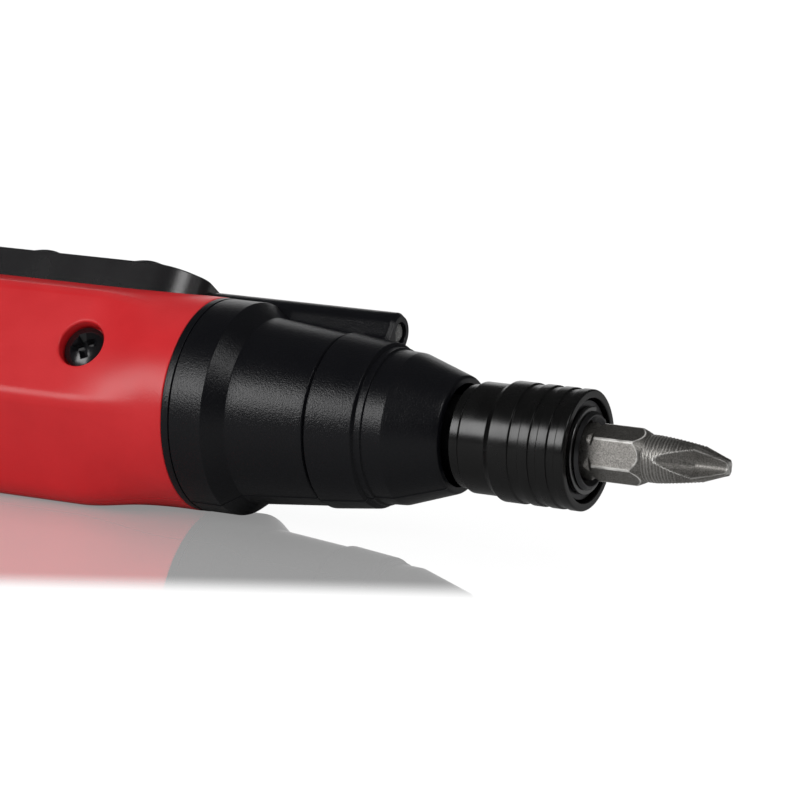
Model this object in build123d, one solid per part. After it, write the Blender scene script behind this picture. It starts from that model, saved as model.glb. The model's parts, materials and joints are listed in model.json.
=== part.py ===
from build123d import *
import math
import os

# An inline cordless screwdriver with a quick-change chuck, in millimetres.
# Tool axes while modelling: X runs along the spindle towards the bit, Z points at the lever,
# and x = 0 is the front face of the red housing. At the end every piece is laid on a belly facet.

# Housing: a six-sided section, each side given by the tilt of its normal and its distance
SIDE_DISTANCE = 13.4
BELLY_TILT = 35.0
BELLY_DISTANCE = 14.0
SHOULDER_TILT = 30.0
SHOULDER_DISTANCE = 13.9
TOP_HEIGHT = 12.0
KEEL_ROUND = 4.5
CREASE_ROUND = 2.5
SHOULDER_ROUND = 2.0
BROW_ROUND = 0.8
HOUSING_WALL = 1.8
HOUSING_LENGTH = 138.0
COLLAR_RADIUS = 13.99
COLLAR_LENGTH = 5.0
COLLAR_BLEND = 4.8
RIB_THICKNESS = 1.5

# Clearances
SEAT_GAP = 0.02
RUN_GAP = 0.05
SIDE_GAP = 0.3
LEVER_GAP = 0.35
TOUCH_GAP = 0.1

# Nose, from the housing forwards
RING_WIDTH = 1.05
RING_RADIUS = 13.95
FLANGE_RADIUS = 13.9
FLANGE_LENGTH = 4.6
FLANGE_RELIEF = 0.25
SHOULDER_LENGTH = 2.5
NOSE_RADIUS = 12.15
NOSE_LENGTH = 12.0
NOSE_END_RADIUS = 11.05
BAND_RADIUS = 11.35
BAND_LENGTH = 6.25
BAND_END_RADIUS = 10.65
GROOVE_LENGTH = 1.2
GROOVE_RADIUS = 10.15
NECK_RADIUS = 9.9
NECK_LENGTH = 2.6
NECK_END_RADIUS = 9.75
TAPER_LENGTH = 6.8
MOUTH_OUTER_RADIUS = 7.75
MOUTH_LIP = 0.5
MOUTH_RADIUS = 7.0

# Lamp bar on the nose
LAMP_HEIGHT = 13.0
LAMP_BAR_RADIUS = 2.63
LAMP_BAR_END = 23.8
LAMP_BAR_TONGUE = 3.9
LAMP_BAR_ROUND = 0.9
LAMP_TONGUE_FLOOR = 11.55
LED_RADIUS = 1.35
LED_LENGTH = 3.3
LED_RECESS = 0.2
LED_BOARD_THICKNESS = 1.9
WIRE_RADIUS = 0.7

# Lever
LEVER_HALF_WIDTH = 7.0
LEVER_TOP = 16.1
LEVER_BOTTOM = 10.6
LEVER_FRONT = -4.6
LEVER_REAR = -78.0
LEVER_WALL = 1.4
LEVER_REAR_ROUND = 3.0
LEVER_PROW_LENGTH = 5.2
LEVER_PROW_TAPER = 1.3
LEVER_PROW_ROUND = 3.0
LEVER_SHOULDER_ROUND = 8.0
LEVER_TOP_ROUND = 0.25
LEVER_RIB_START = -12.3
LEVER_RIB_PITCH = 15.7
LEVER_RIB_COUNT = 4
LEVER_RIB_HEIGHT = 0.5
LEVER_RIB_RADIUS = 6.0
LEVER_RIB_HALF_WIDTH = 6.7
PIVOT_X = -12.0
PIVOT_Z = 9.8
TRUNNION_RADIUS = 0.9
TRUNNION_LENGTH = 1.6
EAR_HALF_LENGTH = 2.0
EAR_DEPTH = 1.2
PRESS_ANGLE = 2.2

# Switch under the lever, and the lever's spring
SWITCH_X = -56.0
SWITCH_LENGTH = 10.0
SWITCH_WIDTH = 6.4
SWITCH_FLOOR = -1.0
SWITCH_HEIGHT = 7.0
PLUNGER_RADIUS = 1.2
PLUNGER_HEIGHT = 2.6
PLUNGER_DEPTH = 3.4
PUSHER_LENGTH = 3.0
SPRING_X = -64.9
SPRING_SEAT = 4.0
SPRING_RADIUS = 2.3
SPRING_WIRE = 0.5
SPRING_TURNS = 6
SPRING_POST_RADIUS = 1.6
SPRING_POST_HEIGHT = 2.5

# Gears
MODULE = 0.5
PRESSURE_ANGLE = 25.0
SUN_TEETH = 9
PLANET_TEETH = 12
PLANET_ANGLES = (90.0, 210.0, 330.0)
ADDENDUM = 0.8
DEDENDUM = 1.0
TOOTH_THINNING = 0.05
FLANK_STEPS = 5
GEAR_CASE_RADIUS = 11.2
GEAR_CASE_REAR = -8.1
GEAR_CASE_FRONT = 7.0
PLANET_PIN_RADIUS = 1.0
CARRIER_GAP = 0.55
CARRIER_THICKNESS = 1.7
STAGE_GAP = 0.35
PLANET_1_WIDTH = 4.2
PLANET_2_WIDTH = 5.3
WASHER_THICKNESS = 0.7
WASHER_BORE = 8.3

# Motor and its mount
MOUNT_LENGTH = 10.9
MOUNT_HALF_WIDTH = 9.8
MOUNT_TOP = 8.3
MOUNT_BORE = 3.3
MOTOR_RADIUS = 10.0
MOTOR_LENGTH = 26.0
MOTOR_WALL = 0.8
ENDBELL_LENGTH = 3.0
MAGNET_THICKNESS = 1.7
MAGNET_LENGTH = 16.0
MAGNET_HALF_ANGLE = 62.0
SHAFT_RADIUS = 1.0
BUSH_RADIUS = 3.0
BUSH_LENGTH = 2.4
ARMATURE_RADIUS = 6.9
ARMATURE_LENGTH = 15.0
ARMATURE_SLOTS = 3
ARMATURE_SLOT_WIDTH = 1.6
ARMATURE_SLOT_DEPTH = 3.6
COMMUTATOR_RADIUS = 2.8
COMMUTATOR_LENGTH = 3.0
BRUSH_LENGTH = 2.6
BRUSH_WIDTH = 2.0

# Bearings, ten by nineteen by five
BEARING_RADIUS = 9.5
BEARING_WIDTH = 5.0
BEARING_RING = 1.2
BEARING_BALL = 1.42
BEARING_BALLS = 9
BEARING_SPREAD = 12.4
SPACER_WALL = 0.9
CLIP_WIDTH = 0.8
CLIP_DEPTH = 0.5
CLIP_HEIGHT = 1.1
CLIP_GAP_WIDTH = 3.0

# Spindle and chuck
SPINDLE_RADIUS = 4.98
SPINDLE_SHOULDER = 6.0
SPINDLE_FRONT = 55.2
HEX_SOCKET = 6.45
SOCKET_DEPTH = 32.0
SOCKET_RIM = 0.58
SOCKET_CONE_LENGTH = 1.1
STOP_RING_RADIUS = 6.6
STOP_RING_WIDTH = 1.4
STOP_RING_GAP = 1.1
SLEEVE_REAR_RADIUS = 7.1
SLEEVE_REAR_LENGTH = 3.7
SLEEVE_RADIUS = 7.66
SLEEVE_RAMP = 0.85
SLEEVE_LENGTH = 15.1
SLEEVE_LIP = 0.8
SLEEVE_GROOVES = ((46.8, 48.2), (49.6, 50.7), (52.1, 53.2))
SLEEVE_GROOVE_DEPTH = 0.2
SLEEVE_BORE = 6.6
SLEEVE_LAND_END = 47.4
SLEEVE_REAR_LAND = 1.6
SLEEVE_TRAVEL = 3.2
BALL_X = 45.5
BALL_SEAT_GAP = 0.0735
BALL_RAMP = 0.28
RAMP_LEAD = 0.26
BALL_GAP = 0.03
SNAP_RING_FRONT = 54.7
SNAP_RING_WIDTH = 0.7
SNAP_RING_RADIUS = 5.55
SPRING_WASHER_RADIUS = 6.3
SPRING_WASHER_WIDTH = 0.6
SLEEVE_SPRING_RADIUS = 5.75
SLEEVE_SPRING_WIRE = 0.6
SLEEVE_SPRING_TURNS = 3

# Bit: quarter-inch hex shank with a cross point
BIT_TIP = 73.5
BIT_LENGTH = 50.0
BIT_HEX = 6.35
BIT_ROLL = 205.0
BIT_GROOVE_RADIUS = 2.45
BIT_GROOVE_LENGTH = 5.2
BIT_HEX_END = 61.45
BIT_CHAMFER_LENGTH = 1.4
BIT_SHANK_RADIUS = 3.0
BIT_SHANK_END_RADIUS = 2.9
BIT_POINT_LENGTH = 4.1
BIT_POINT_RADIUS = 1.15
BIT_RIBS = 14
BIT_RIB_DEPTH = 0.08
FLUTE_RADIUS = 1.5
FLUTE_START_RADIUS = 3.1
FLUTE_END_RADIUS = 0.7

# Screws
SCREW_X = -13.4
SCREW_Z = 0.6
SCREW_HEAD_RADIUS = 3.1
TAIL_SCREW_HEAD_RADIUS = 2.0
TAIL_SCREW_RECESS_RADIUS = 2.75
SCREW_HEAD_HEIGHT = 1.5
SCREW_RADIUS = 1.0
SCREW_RECESS_RADIUS = 3.4
SCREW_RECESS_DEPTH = 2.0
SCREW_PAD_RADIUS = 4.6
SHORT_SCREW_LENGTH = 5.4
LONG_SCREW_LENGTH = 18.0
LONG_SCREW_Z = -3.5
CROSS_WIDTH = 0.75
CROSS_SPAN = 2.9
CROSS_DEPTH = 0.9

# Battery, boards and tail
CELL_RADIUS = 9.2
CELL_LENGTH = 65.0
CELL_FRONT = -68.5
CELL_DROP = 1.5
TAB_THICKNESS = 0.3
TAB_WIDTH = 6.0
BOARD_FLOOR = 8.0
BOARD_THICKNESS = 1.2
BOARD_FRONT = -84.0
BOARD_LENGTH = 48.0
BOARD_HALF_WIDTH = 6.0
SELECTOR_X = -92.0
SELECTOR_LENGTH = 12.0
SELECTOR_HALF_WIDTH = 4.0
SELECTOR_CAP = 1.5
SELECTOR_NECK_LENGTH = 5.0
SELECTOR_NECK_HALF_WIDTH = 2.0
SELECTOR_BASE_LENGTH = 9.0
SELECTOR_BASE_HALF_WIDTH = 3.4
SELECTOR_BASE_THICKNESS = 0.7
SELECTOR_TRAVEL = 2.0
CAP_LENGTH = 8.0
CAP_SLOPE = 1.5
CAP_PLUG_LENGTH = 1.4
PORT_HALF_WIDTH = 4.5
PORT_HALF_HEIGHT = 1.6
PORT_SHELL = 0.35
PORT_SETBACK = 0.4
CHARGE_BOARD_HALF_WIDTH = 5.2
CHARGE_BOARD_HALF_HEIGHT = 4.0
TAIL_SCREW_Y = 8.6
TAIL_BOSS_RADIUS = 2.4
TAIL_BOSS_LENGTH = 2.4
TAIL_SCREW_LENGTH = 9.5
TAIL_SCREW_HEAD_DEPTH = 1.9

# Stations that follow from the sizes above
NOSE_REAR = RING_WIDTH
FLANGE_X = NOSE_REAR + FLANGE_LENGTH
SHOULDER_X = FLANGE_X + SHOULDER_LENGTH
BAND_X = SHOULDER_X + NOSE_LENGTH
BAND_END_X = BAND_X + BAND_LENGTH
NECK_X = BAND_END_X + GROOVE_LENGTH
NECK_END_X = NECK_X + NECK_LENGTH
NOSE_FRONT = NECK_END_X + TAPER_LENGTH
BEARING_BORE = SPINDLE_RADIUS + SEAT_GAP
BEARING_X = GEAR_CASE_FRONT + WASHER_THICKNESS + TOUCH_GAP
BEARING_2_X = BEARING_X + BEARING_SPREAD
BEARING_FRONT = BEARING_2_X + BEARING_WIDTH
SOCKET_CONE_RADIUS = SPINDLE_RADIUS - SOCKET_RIM
RAMP_STRETCH = math.hypot(1, BALL_RAMP)
BALL_REACH = SPINDLE_RADIUS + RUN_GAP + BALL_RAMP * RAMP_LEAD - BIT_GROOVE_RADIUS
BALL_RADIUS = (BALL_REACH - BALL_SEAT_GAP - BALL_GAP * RAMP_STRETCH) / (1 + RAMP_STRETCH)
STOP_RING_X = NOSE_FRONT + STOP_RING_GAP
SLEEVE_REAR = STOP_RING_X + STOP_RING_WIDTH + TOUCH_GAP
SLEEVE_FRONT = SLEEVE_REAR + SLEEVE_LENGTH
WASHER_X = SNAP_RING_FRONT - SNAP_RING_WIDTH - SPRING_WASHER_WIDTH - TOUCH_GAP
MOUNT_FRONT = GEAR_CASE_REAR - TOUCH_GAP
MOUNT_REAR = MOUNT_FRONT - MOUNT_LENGTH
MOTOR_REAR = MOUNT_REAR - MOTOR_LENGTH
ENDBELL_REAR = MOTOR_REAR - ENDBELL_LENGTH
MOTOR_MID = MOUNT_REAR - MOTOR_LENGTH / 2
CELL_REAR = CELL_FRONT - CELL_LENGTH
TAIL = -HOUSING_LENGTH - CAP_LENGTH
PLUG_FRONT = -HOUSING_LENGTH + CAP_PLUG_LENGTH
PORT_REAR = TAIL + PORT_SETBACK
HOUSING_TOP_INSIDE = TOP_HEIGHT - HOUSING_WALL
RING_TEETH = SUN_TEETH + 2 * PLANET_TEETH
SUN_PITCH = MODULE * SUN_TEETH / 2
PLANET_PITCH = MODULE * PLANET_TEETH / 2
RING_PITCH = MODULE * RING_TEETH / 2
ORBIT = SUN_PITCH + PLANET_PITCH
CARRIER_RADIUS = RING_PITCH - ADDENDUM * MODULE - CARRIER_GAP
CARRIER_2_X = GEAR_CASE_FRONT - CARRIER_THICKNESS - STAGE_GAP
PLANET_2_X = CARRIER_2_X - STAGE_GAP - PLANET_2_WIDTH
CARRIER_1_X = PLANET_2_X - STAGE_GAP - CARRIER_THICKNESS
PLANET_1_X = CARRIER_1_X - STAGE_GAP - PLANET_1_WIDTH


def cylinder(x_start, x_end, radius):
    """A solid round bar along the spindle's axis."""
    bar = Cylinder(radius, x_end - x_start, align=(Align.CENTER, Align.CENTER, Align.MIN))
    return Pos(x_start, 0, 0) * Rot(0, 90, 0) * bar


def tube(x_start, x_end, outer, inner):
    """A round tube along the spindle's axis."""
    return cylinder(x_start, x_end, outer) - cylinder(x_start - 1, x_end + 1, inner)


def crossbar(x, z, y_start, y_end, radius):
    """A solid round bar across the tool."""
    bar = Cylinder(radius, y_end - y_start, align=(Align.CENTER, Align.CENTER, Align.MIN))
    return Pos(x, y_start, z) * Rot(-90, 0, 0) * bar


def upright(x, y, z_start, z_end, radius):
    """A solid round bar that points at the lever."""
    bar = Cylinder(radius, z_end - z_start, align=(Align.CENTER, Align.CENTER, Align.MIN))
    return Pos(x, y, z_start) * bar


def block(x_start, x_end, half_width, z_start, z_end):
    """A box centred across the tool."""
    size = (x_end - x_start, 2 * half_width, z_end - z_start)
    return Pos(x_start, 0, z_start) * Box(*size, align=(Align.MIN, Align.CENTER, Align.MIN))


def turned(*points):
    """A turned piece from its half outline, points of (x, radius)."""
    return revolve(make_face(Polyline(*points, close=True)), Axis.X)


def polar(radius, degrees):
    """A point across the axis, from +Y towards +Z."""
    angle = math.radians(degrees)
    return radius * math.cos(angle), radius * math.sin(angle)


def spring(radius, wire, turns, length):
    """A coil spring along Z from z = 0, its wire's outside filling the length."""
    pitch = (length - wire) / turns
    path = Helix(pitch=pitch, height=length - wire, radius=radius)
    profile = Plane(origin=path @ 0, z_dir=path % 0) * Circle(wire / 2)
    return Pos(0, 0, wire / 2) * sweep(profile, path=path, is_frenet=True)


# The housing's section
def section_corner(first, second):
    """Where two sides meet, each a pair of (normal angle in degrees, distance)."""
    a, b = (math.radians(side[0]) for side in (first, second))
    spread = math.sin(b - a)
    y = (first[1] * math.sin(b) - second[1] * math.sin(a)) / spread
    z = (second[1] * math.cos(a) - first[1] * math.cos(b)) / spread
    return y, z


def section(inset=0.0):
    """The six-sided outline, or one set in from it all round."""
    belly = 90 - BELLY_TILT
    shoulder = 90 - SHOULDER_TILT
    sides = [
        (-belly, BELLY_DISTANCE - inset),
        (0, SIDE_DISTANCE - inset),
        (shoulder, SHOULDER_DISTANCE - inset),
        (90, TOP_HEIGHT - inset),
        (180 - shoulder, SHOULDER_DISTANCE - inset),
        (180, SIDE_DISTANCE - inset),
        (180 + belly, BELLY_DISTANCE - inset),
    ]
    rounds = [CREASE_ROUND, SHOULDER_ROUND, BROW_ROUND, BROW_ROUND, SHOULDER_ROUND, CREASE_ROUND, KEEL_ROUND]
    following = sides[1:] + sides[:1]
    corners = [section_corner(side, after) for side, after in zip(sides, following)]
    radii = [max(radius - inset, BROW_ROUND) for radius in rounds]
    return make_face(FilletPolyline(*corners, radius=radii, close=True))


def prism(x_start, x_end, inset=0.0):
    """A length of the housing's section."""
    return extrude(Plane.YZ.offset(x_start) * section(inset), amount=x_end - x_start)


def lever_plan(grow):
    """The lever's outline seen from above, grown all round: a blunt prow and a tail with round corners."""
    shoulder = LEVER_FRONT - LEVER_PROW_LENGTH
    front_half = LEVER_HALF_WIDTH - LEVER_PROW_TAPER
    near = [(LEVER_REAR, -LEVER_HALF_WIDTH), (shoulder, -LEVER_HALF_WIDTH), (LEVER_FRONT, -front_half)]
    far = [(x, -y) for x, y in reversed(near)]
    plan = make_face(Polyline(*near, *far, close=True))
    rounds = (LEVER_REAR_ROUND, LEVER_SHOULDER_ROUND, LEVER_PROW_ROUND)
    for (x, _), radius in zip(near, rounds):
        plan = fillet([corner for corner in plan.vertices() if round(corner.X - x, 6) == 0], radius)
    return offset(plan, grow, kind=Kind.INTERSECTION) if grow else plan


# Red housing
def screw_spots():
    """Each case screw: (x, z, side it enters from, length under its head)."""
    return [
        (SCREW_X, SCREW_Z, -1, SHORT_SCREW_LENGTH),
        (SCREW_X, SCREW_Z, 1, SHORT_SCREW_LENGTH),
        (SPRING_X, LONG_SCREW_Z, -1, LONG_SCREW_LENGTH),
    ]


def across(x, z, side, y_near, y_far, radius):
    """A round bar across the tool on one side, from its outer to its inner end."""
    low, high = sorted((side * y_near, side * y_far))
    return crossbar(x, z, low, high, radius)


def rib(x_start, top, bore=None, drop=0.0, thickness=RIB_THICKNESS):
    """A wall across the inside of the housing, with a flat top and an optional round seat."""
    wall = prism(x_start, x_start + thickness, HOUSING_WALL - SEAT_GAP)
    wall -= block(x_start - 1, x_start + thickness + 1, SIDE_DISTANCE, top, 2 * TOP_HEIGHT)
    if bore:
        wall -= Pos(0, 0, -drop) * cylinder(x_start - 1, x_start + thickness + 1, bore)
    return wall


def housing():
    """Both halves as one, before they are parted."""
    reach = BELLY_DISTANCE / math.cos(math.radians(BELLY_TILT)) + 1
    flare = turned(
        (-HOUSING_LENGTH, 0),
        (-HOUSING_LENGTH, reach),
        (-COLLAR_LENGTH - COLLAR_BLEND, reach),
        (-COLLAR_LENGTH, COLLAR_RADIUS),
        (0, COLLAR_RADIUS),
        (0, 0),
    )
    collar = turned(
        (-COLLAR_LENGTH - 2 * COLLAR_BLEND, 0),
        (-COLLAR_LENGTH - 2 * COLLAR_BLEND, TOP_HEIGHT),
        (-COLLAR_LENGTH, COLLAR_RADIUS),
        (0, COLLAR_RADIUS),
        (0, 0),
    )
    shell = prism(-HOUSING_LENGTH, -COLLAR_LENGTH / 2) & flare
    shell += collar
    shell -= prism(-HOUSING_LENGTH - 1, MOUNT_REAR - SIDE_GAP, HOUSING_WALL)
    shell -= cylinder(MOUNT_REAR - 1, 1, GEAR_CASE_RADIUS + TOUCH_GAP)
    for side in (-1, 1):
        shell += across(
            SCREW_X, SCREW_Z, side, SIDE_DISTANCE - HOUSING_WALL, MOUNT_HALF_WIDTH + RUN_GAP, SCREW_PAD_RADIUS
        )
        boss = Pos(0, side * TAIL_SCREW_Y, 0) * cylinder(
            PLUG_FRONT + TOUCH_GAP, PLUG_FRONT + TOUCH_GAP + TAIL_BOSS_LENGTH, TAIL_BOSS_RADIUS
        )
        web_y = (TAIL_SCREW_Y + SIDE_DISTANCE - HOUSING_WALL / 2) / 2
        web = Pos(PLUG_FRONT + TOUCH_GAP, side * web_y, 0) * Box(
            TAIL_BOSS_LENGTH,
            SIDE_DISTANCE - HOUSING_WALL / 2 - TAIL_SCREW_Y,
            TAIL_BOSS_RADIUS,
            align=(Align.MIN, Align.CENTER, Align.CENTER),
        )
        shell += boss + web
        shell -= Pos(0, side * TAIL_SCREW_Y, 0) * cylinder(
            PLUG_FRONT - 1, PLUG_FRONT + TAIL_BOSS_LENGTH + 1, SCREW_RADIUS
        )
    for x_rib in (MOUNT_REAR - 4, MOTOR_REAR + 3):
        shell += rib(x_rib, MOUNT_TOP - 1, MOTOR_RADIUS + RUN_GAP)
    for x_rib in (SWITCH_X - SWITCH_LENGTH / 3, SWITCH_X + SWITCH_LENGTH / 3 - RIB_THICKNESS):
        shell += rib(x_rib, SWITCH_FLOOR)
    seat_length = 2 * SPRING_RADIUS
    seat = rib(SPRING_X - seat_length / 2, SPRING_SEAT, thickness=seat_length)
    shell += seat + upright(SPRING_X, 0, SPRING_SEAT - 1, SPRING_SEAT + SPRING_POST_HEIGHT, SPRING_POST_RADIUS)
    shell += rib(LEVER_REAR, MOUNT_TOP - 2, CELL_RADIUS + RUN_GAP, CELL_DROP)
    for x_rib in (BOARD_FRONT - BOARD_LENGTH / 3, BOARD_FRONT - BOARD_LENGTH + RIB_THICKNESS):
        shell += rib(x_rib, BOARD_FLOOR, CELL_RADIUS + RUN_GAP, CELL_DROP)
    shell -= extrude(Pos(0, 0, LEVER_BOTTOM - EAR_DEPTH - 2) * lever_plan(LEVER_GAP), amount=2 * TOP_HEIGHT)
    notch = LAMP_BAR_RADIUS + LEVER_GAP / 2
    shell -= block(LEVER_FRONT - 1, 1, notch, LAMP_TONGUE_FLOOR - SIDE_GAP, 2 * TOP_HEIGHT)
    trunnion_reach = LEVER_HALF_WIDTH + TRUNNION_LENGTH + TOUCH_GAP
    shell -= crossbar(PIVOT_X, PIVOT_Z, -trunnion_reach, trunnion_reach, TRUNNION_RADIUS + RUN_GAP)
    slot = SELECTOR_NECK_LENGTH / 2 + SELECTOR_TRAVEL + SIDE_GAP
    shell -= block(
        SELECTOR_X - slot, SELECTOR_X + slot, SELECTOR_NECK_HALF_WIDTH + SIDE_GAP, BOARD_FLOOR, TOP_HEIGHT + 1
    )
    for x, z, side, length in screw_spots():
        head = SIDE_DISTANCE - SCREW_RECESS_DEPTH
        shell -= across(x, z, side, SIDE_DISTANCE + 1, head, SCREW_RECESS_RADIUS)
        shell -= across(x, z, side, SIDE_DISTANCE, head - length - TOUCH_GAP, SCREW_RADIUS + SEAT_GAP)
    return shell


def housing_half(side):
    """One half: -1 is the right half, 1 the left, as the tool points forwards."""
    span = 4 * SIDE_DISTANCE
    keep = Pos(-HOUSING_LENGTH / 2, side * span / 2, 0) * Box(2 * HOUSING_LENGTH, span, span)
    return (WHOLE_HOUSING & keep).solid()


def screw(length, head_radius=SCREW_HEAD_RADIUS):
    """A pan-head screw with a cross recess, its seat at z = 0 and its head upwards."""
    dome = 0.45 * SCREW_HEAD_HEIGHT
    profile = make_face(
        Polyline(
            (0, -length),
            (SCREW_RADIUS, -length),
            (SCREW_RADIUS, 0),
            (head_radius, 0),
            (head_radius, SCREW_HEAD_HEIGHT - dome),
            (0.72 * head_radius, SCREW_HEAD_HEIGHT - 0.1),
            (0.45 * head_radius, SCREW_HEAD_HEIGHT),
            (0, SCREW_HEAD_HEIGHT),
            close=True,
        )
    )
    body = revolve(Plane.XZ * profile, Axis.Z)
    for turn in (0, 90):
        arm = Box(CROSS_SPAN, CROSS_WIDTH, 2 * CROSS_DEPTH)
        body -= Pos(0, 0, SCREW_HEAD_HEIGHT) * Rot(0, 0, turn + 45) * arm
    return body.solid()


def case_screws():
    """The screws that enter the housing from its sides."""
    screws = []
    for x, z, side, length in screw_spots():
        seat = side * (SIDE_DISTANCE - SCREW_RECESS_DEPTH + SEAT_GAP)
        screws.append(Pos(x, seat, z) * Rot(-90 * side, 0, 0) * screw(length))
    return screws


def tail_screws():
    """Two screws that hold the tail cap to the housing halves."""
    seat = TAIL + TAIL_SCREW_HEAD_DEPTH - SEAT_GAP
    one = Rot(0, -90, 0) * screw(TAIL_SCREW_LENGTH, TAIL_SCREW_HEAD_RADIUS)
    return [Pos(seat, side * TAIL_SCREW_Y, 0) * one for side in (-1, 1)]


def tail_cap():
    """The black cap on the tail, with its plug and the charge port's window."""
    slope_x = TAIL + CAP_SLOPE
    end = Plane.YZ.offset(TAIL) * section(CAP_SLOPE)
    cap = prism(slope_x, -HOUSING_LENGTH) + loft([end, Plane.YZ.offset(slope_x) * section()], ruled=True)
    plug = prism(-HOUSING_LENGTH - 1, PLUG_FRONT, HOUSING_WALL + LEVER_GAP)
    cap += plug
    window = (PORT_HALF_WIDTH + TOUCH_GAP, PORT_HALF_HEIGHT + TOUCH_GAP)
    cap -= block(TAIL - 1, PLUG_FRONT + 1, window[0], -window[1], window[1])
    for side in (-1, 1):
        place = Pos(0, side * TAIL_SCREW_Y, 0)
        cap -= place * cylinder(TAIL - 1, TAIL + TAIL_SCREW_HEAD_DEPTH, TAIL_SCREW_RECESS_RADIUS)
        cap -= place * cylinder(TAIL, PLUG_FRONT + 1, SCREW_RADIUS + SEAT_GAP)
    return cap.solid()


def charge_socket():
    """A flat charge socket: a metal shell with its tongue."""
    front = PLUG_FRONT
    rear = PORT_REAR
    shell = block(rear, front, PORT_HALF_WIDTH, -PORT_HALF_HEIGHT, PORT_HALF_HEIGHT)
    corners = shell.edges().filter_by(Axis.X)
    shell = fillet(corners, PORT_HALF_HEIGHT - PORT_SHELL)
    hollow = block(
        rear - 1,
        front - 2,
        PORT_HALF_WIDTH - PORT_SHELL,
        PORT_SHELL - PORT_HALF_HEIGHT,
        PORT_HALF_HEIGHT - PORT_SHELL,
    )
    hollow = fillet(hollow.edges().filter_by(Axis.X), PORT_HALF_HEIGHT - 2 * PORT_SHELL)
    tongue = block(rear + 1, front - 1, PORT_HALF_WIDTH - 3 * PORT_SHELL, -PORT_SHELL, PORT_SHELL)
    return (shell - hollow + tongue).solid()


def charge_board():
    """The small board that carries the charge socket."""
    front = PLUG_FRONT
    return block(
        front,
        front + BOARD_THICKNESS,
        CHARGE_BOARD_HALF_WIDTH,
        -CHARGE_BOARD_HALF_HEIGHT,
        CHARGE_BOARD_HALF_HEIGHT,
    )


# Lever, switch and selector
def switch_lever():
    """The long lever: a hollow paddle with ribs, a pusher, a spring post and two trunnions."""
    height = LEVER_TOP - LEVER_BOTTOM
    paddle = extrude(Pos(0, 0, LEVER_BOTTOM) * lever_plan(0), amount=height)
    paddle = fillet(paddle.faces().sort_by(Axis.Z)[-1].edges(), LEVER_TOP_ROUND)
    for index in range(LEVER_RIB_COUNT):
        x = LEVER_RIB_START - index * LEVER_RIB_PITCH
        centre = LEVER_TOP + LEVER_RIB_HEIGHT - LEVER_RIB_RADIUS
        ridge = crossbar(x, centre, -LEVER_RIB_HALF_WIDTH, LEVER_RIB_HALF_WIDTH, LEVER_RIB_RADIUS)
        foot = LEVER_TOP - LEVER_TOP_ROUND
        paddle += ridge & block(x - LEVER_RIB_RADIUS, x + LEVER_RIB_RADIUS, SIDE_DISTANCE, foot, 2 * LEVER_TOP)
    roof = LEVER_TOP - LEVER_WALL
    hollow = extrude(Pos(0, 0, LEVER_BOTTOM - 1) * lever_plan(-LEVER_WALL), amount=roof - LEVER_BOTTOM + 1)
    paddle -= hollow
    paddle -= cylinder(PIVOT_X + EAR_HALF_LENGTH, 0, GEAR_CASE_RADIUS + SIDE_GAP)
    plunger_top = SWITCH_FLOOR + SWITCH_HEIGHT + PLUNGER_HEIGHT
    paddle += block(
        SWITCH_X - PUSHER_LENGTH / 2,
        SWITCH_X + PUSHER_LENGTH / 2,
        LEVER_HALF_WIDTH - LEVER_WALL / 2,
        LEVER_BOTTOM,
        roof + LEVER_WALL / 2,
    )
    paddle += upright(SWITCH_X, 0, plunger_top + TOUCH_GAP, LEVER_TOP - 1, PLUNGER_RADIUS)
    paddle += upright(SPRING_X, 0, roof - SPRING_POST_HEIGHT, LEVER_TOP - 1, SPRING_POST_RADIUS)
    for side in (-1, 1):
        ear_y = side * (LEVER_HALF_WIDTH - LEVER_WALL / 2)
        ear = Box(2 * EAR_HALF_LENGTH, LEVER_WALL, LEVER_BOTTOM + 1 - PIVOT_Z + EAR_DEPTH)
        paddle += Pos(PIVOT_X, ear_y, (LEVER_BOTTOM + 1 + PIVOT_Z - EAR_DEPTH) / 2) * ear
        paddle += across(
            PIVOT_X,
            PIVOT_Z,
            side,
            LEVER_HALF_WIDTH + TRUNNION_LENGTH,
            LEVER_HALF_WIDTH - LEVER_WALL,
            TRUNNION_RADIUS,
        )
    return paddle.solid()


def lever_spring():
    """The spring that lifts the lever."""
    gap = TOUCH_GAP / 2
    length = LEVER_TOP - LEVER_WALL - SPRING_SEAT - 2 * gap
    return Pos(SPRING_X, 0, SPRING_SEAT + gap) * spring(SPRING_RADIUS, SPRING_WIRE, SPRING_TURNS, length)


def switch_body():
    """The push switch under the lever, with the plunger's well."""
    top = SWITCH_FLOOR + SWITCH_HEIGHT
    half = SWITCH_LENGTH / 2
    body = block(SWITCH_X - half, SWITCH_X + half, SWITCH_WIDTH / 2, SWITCH_FLOOR, top)
    return body - upright(SWITCH_X, 0, top - PLUNGER_DEPTH - 2, top + 1, PLUNGER_RADIUS + RUN_GAP)


def switch_plunger():
    """The plunger that the lever pushes."""
    top = SWITCH_FLOOR + SWITCH_HEIGHT
    return upright(SWITCH_X, 0, top - PLUNGER_DEPTH, top + PLUNGER_HEIGHT, PLUNGER_RADIUS)


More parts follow.
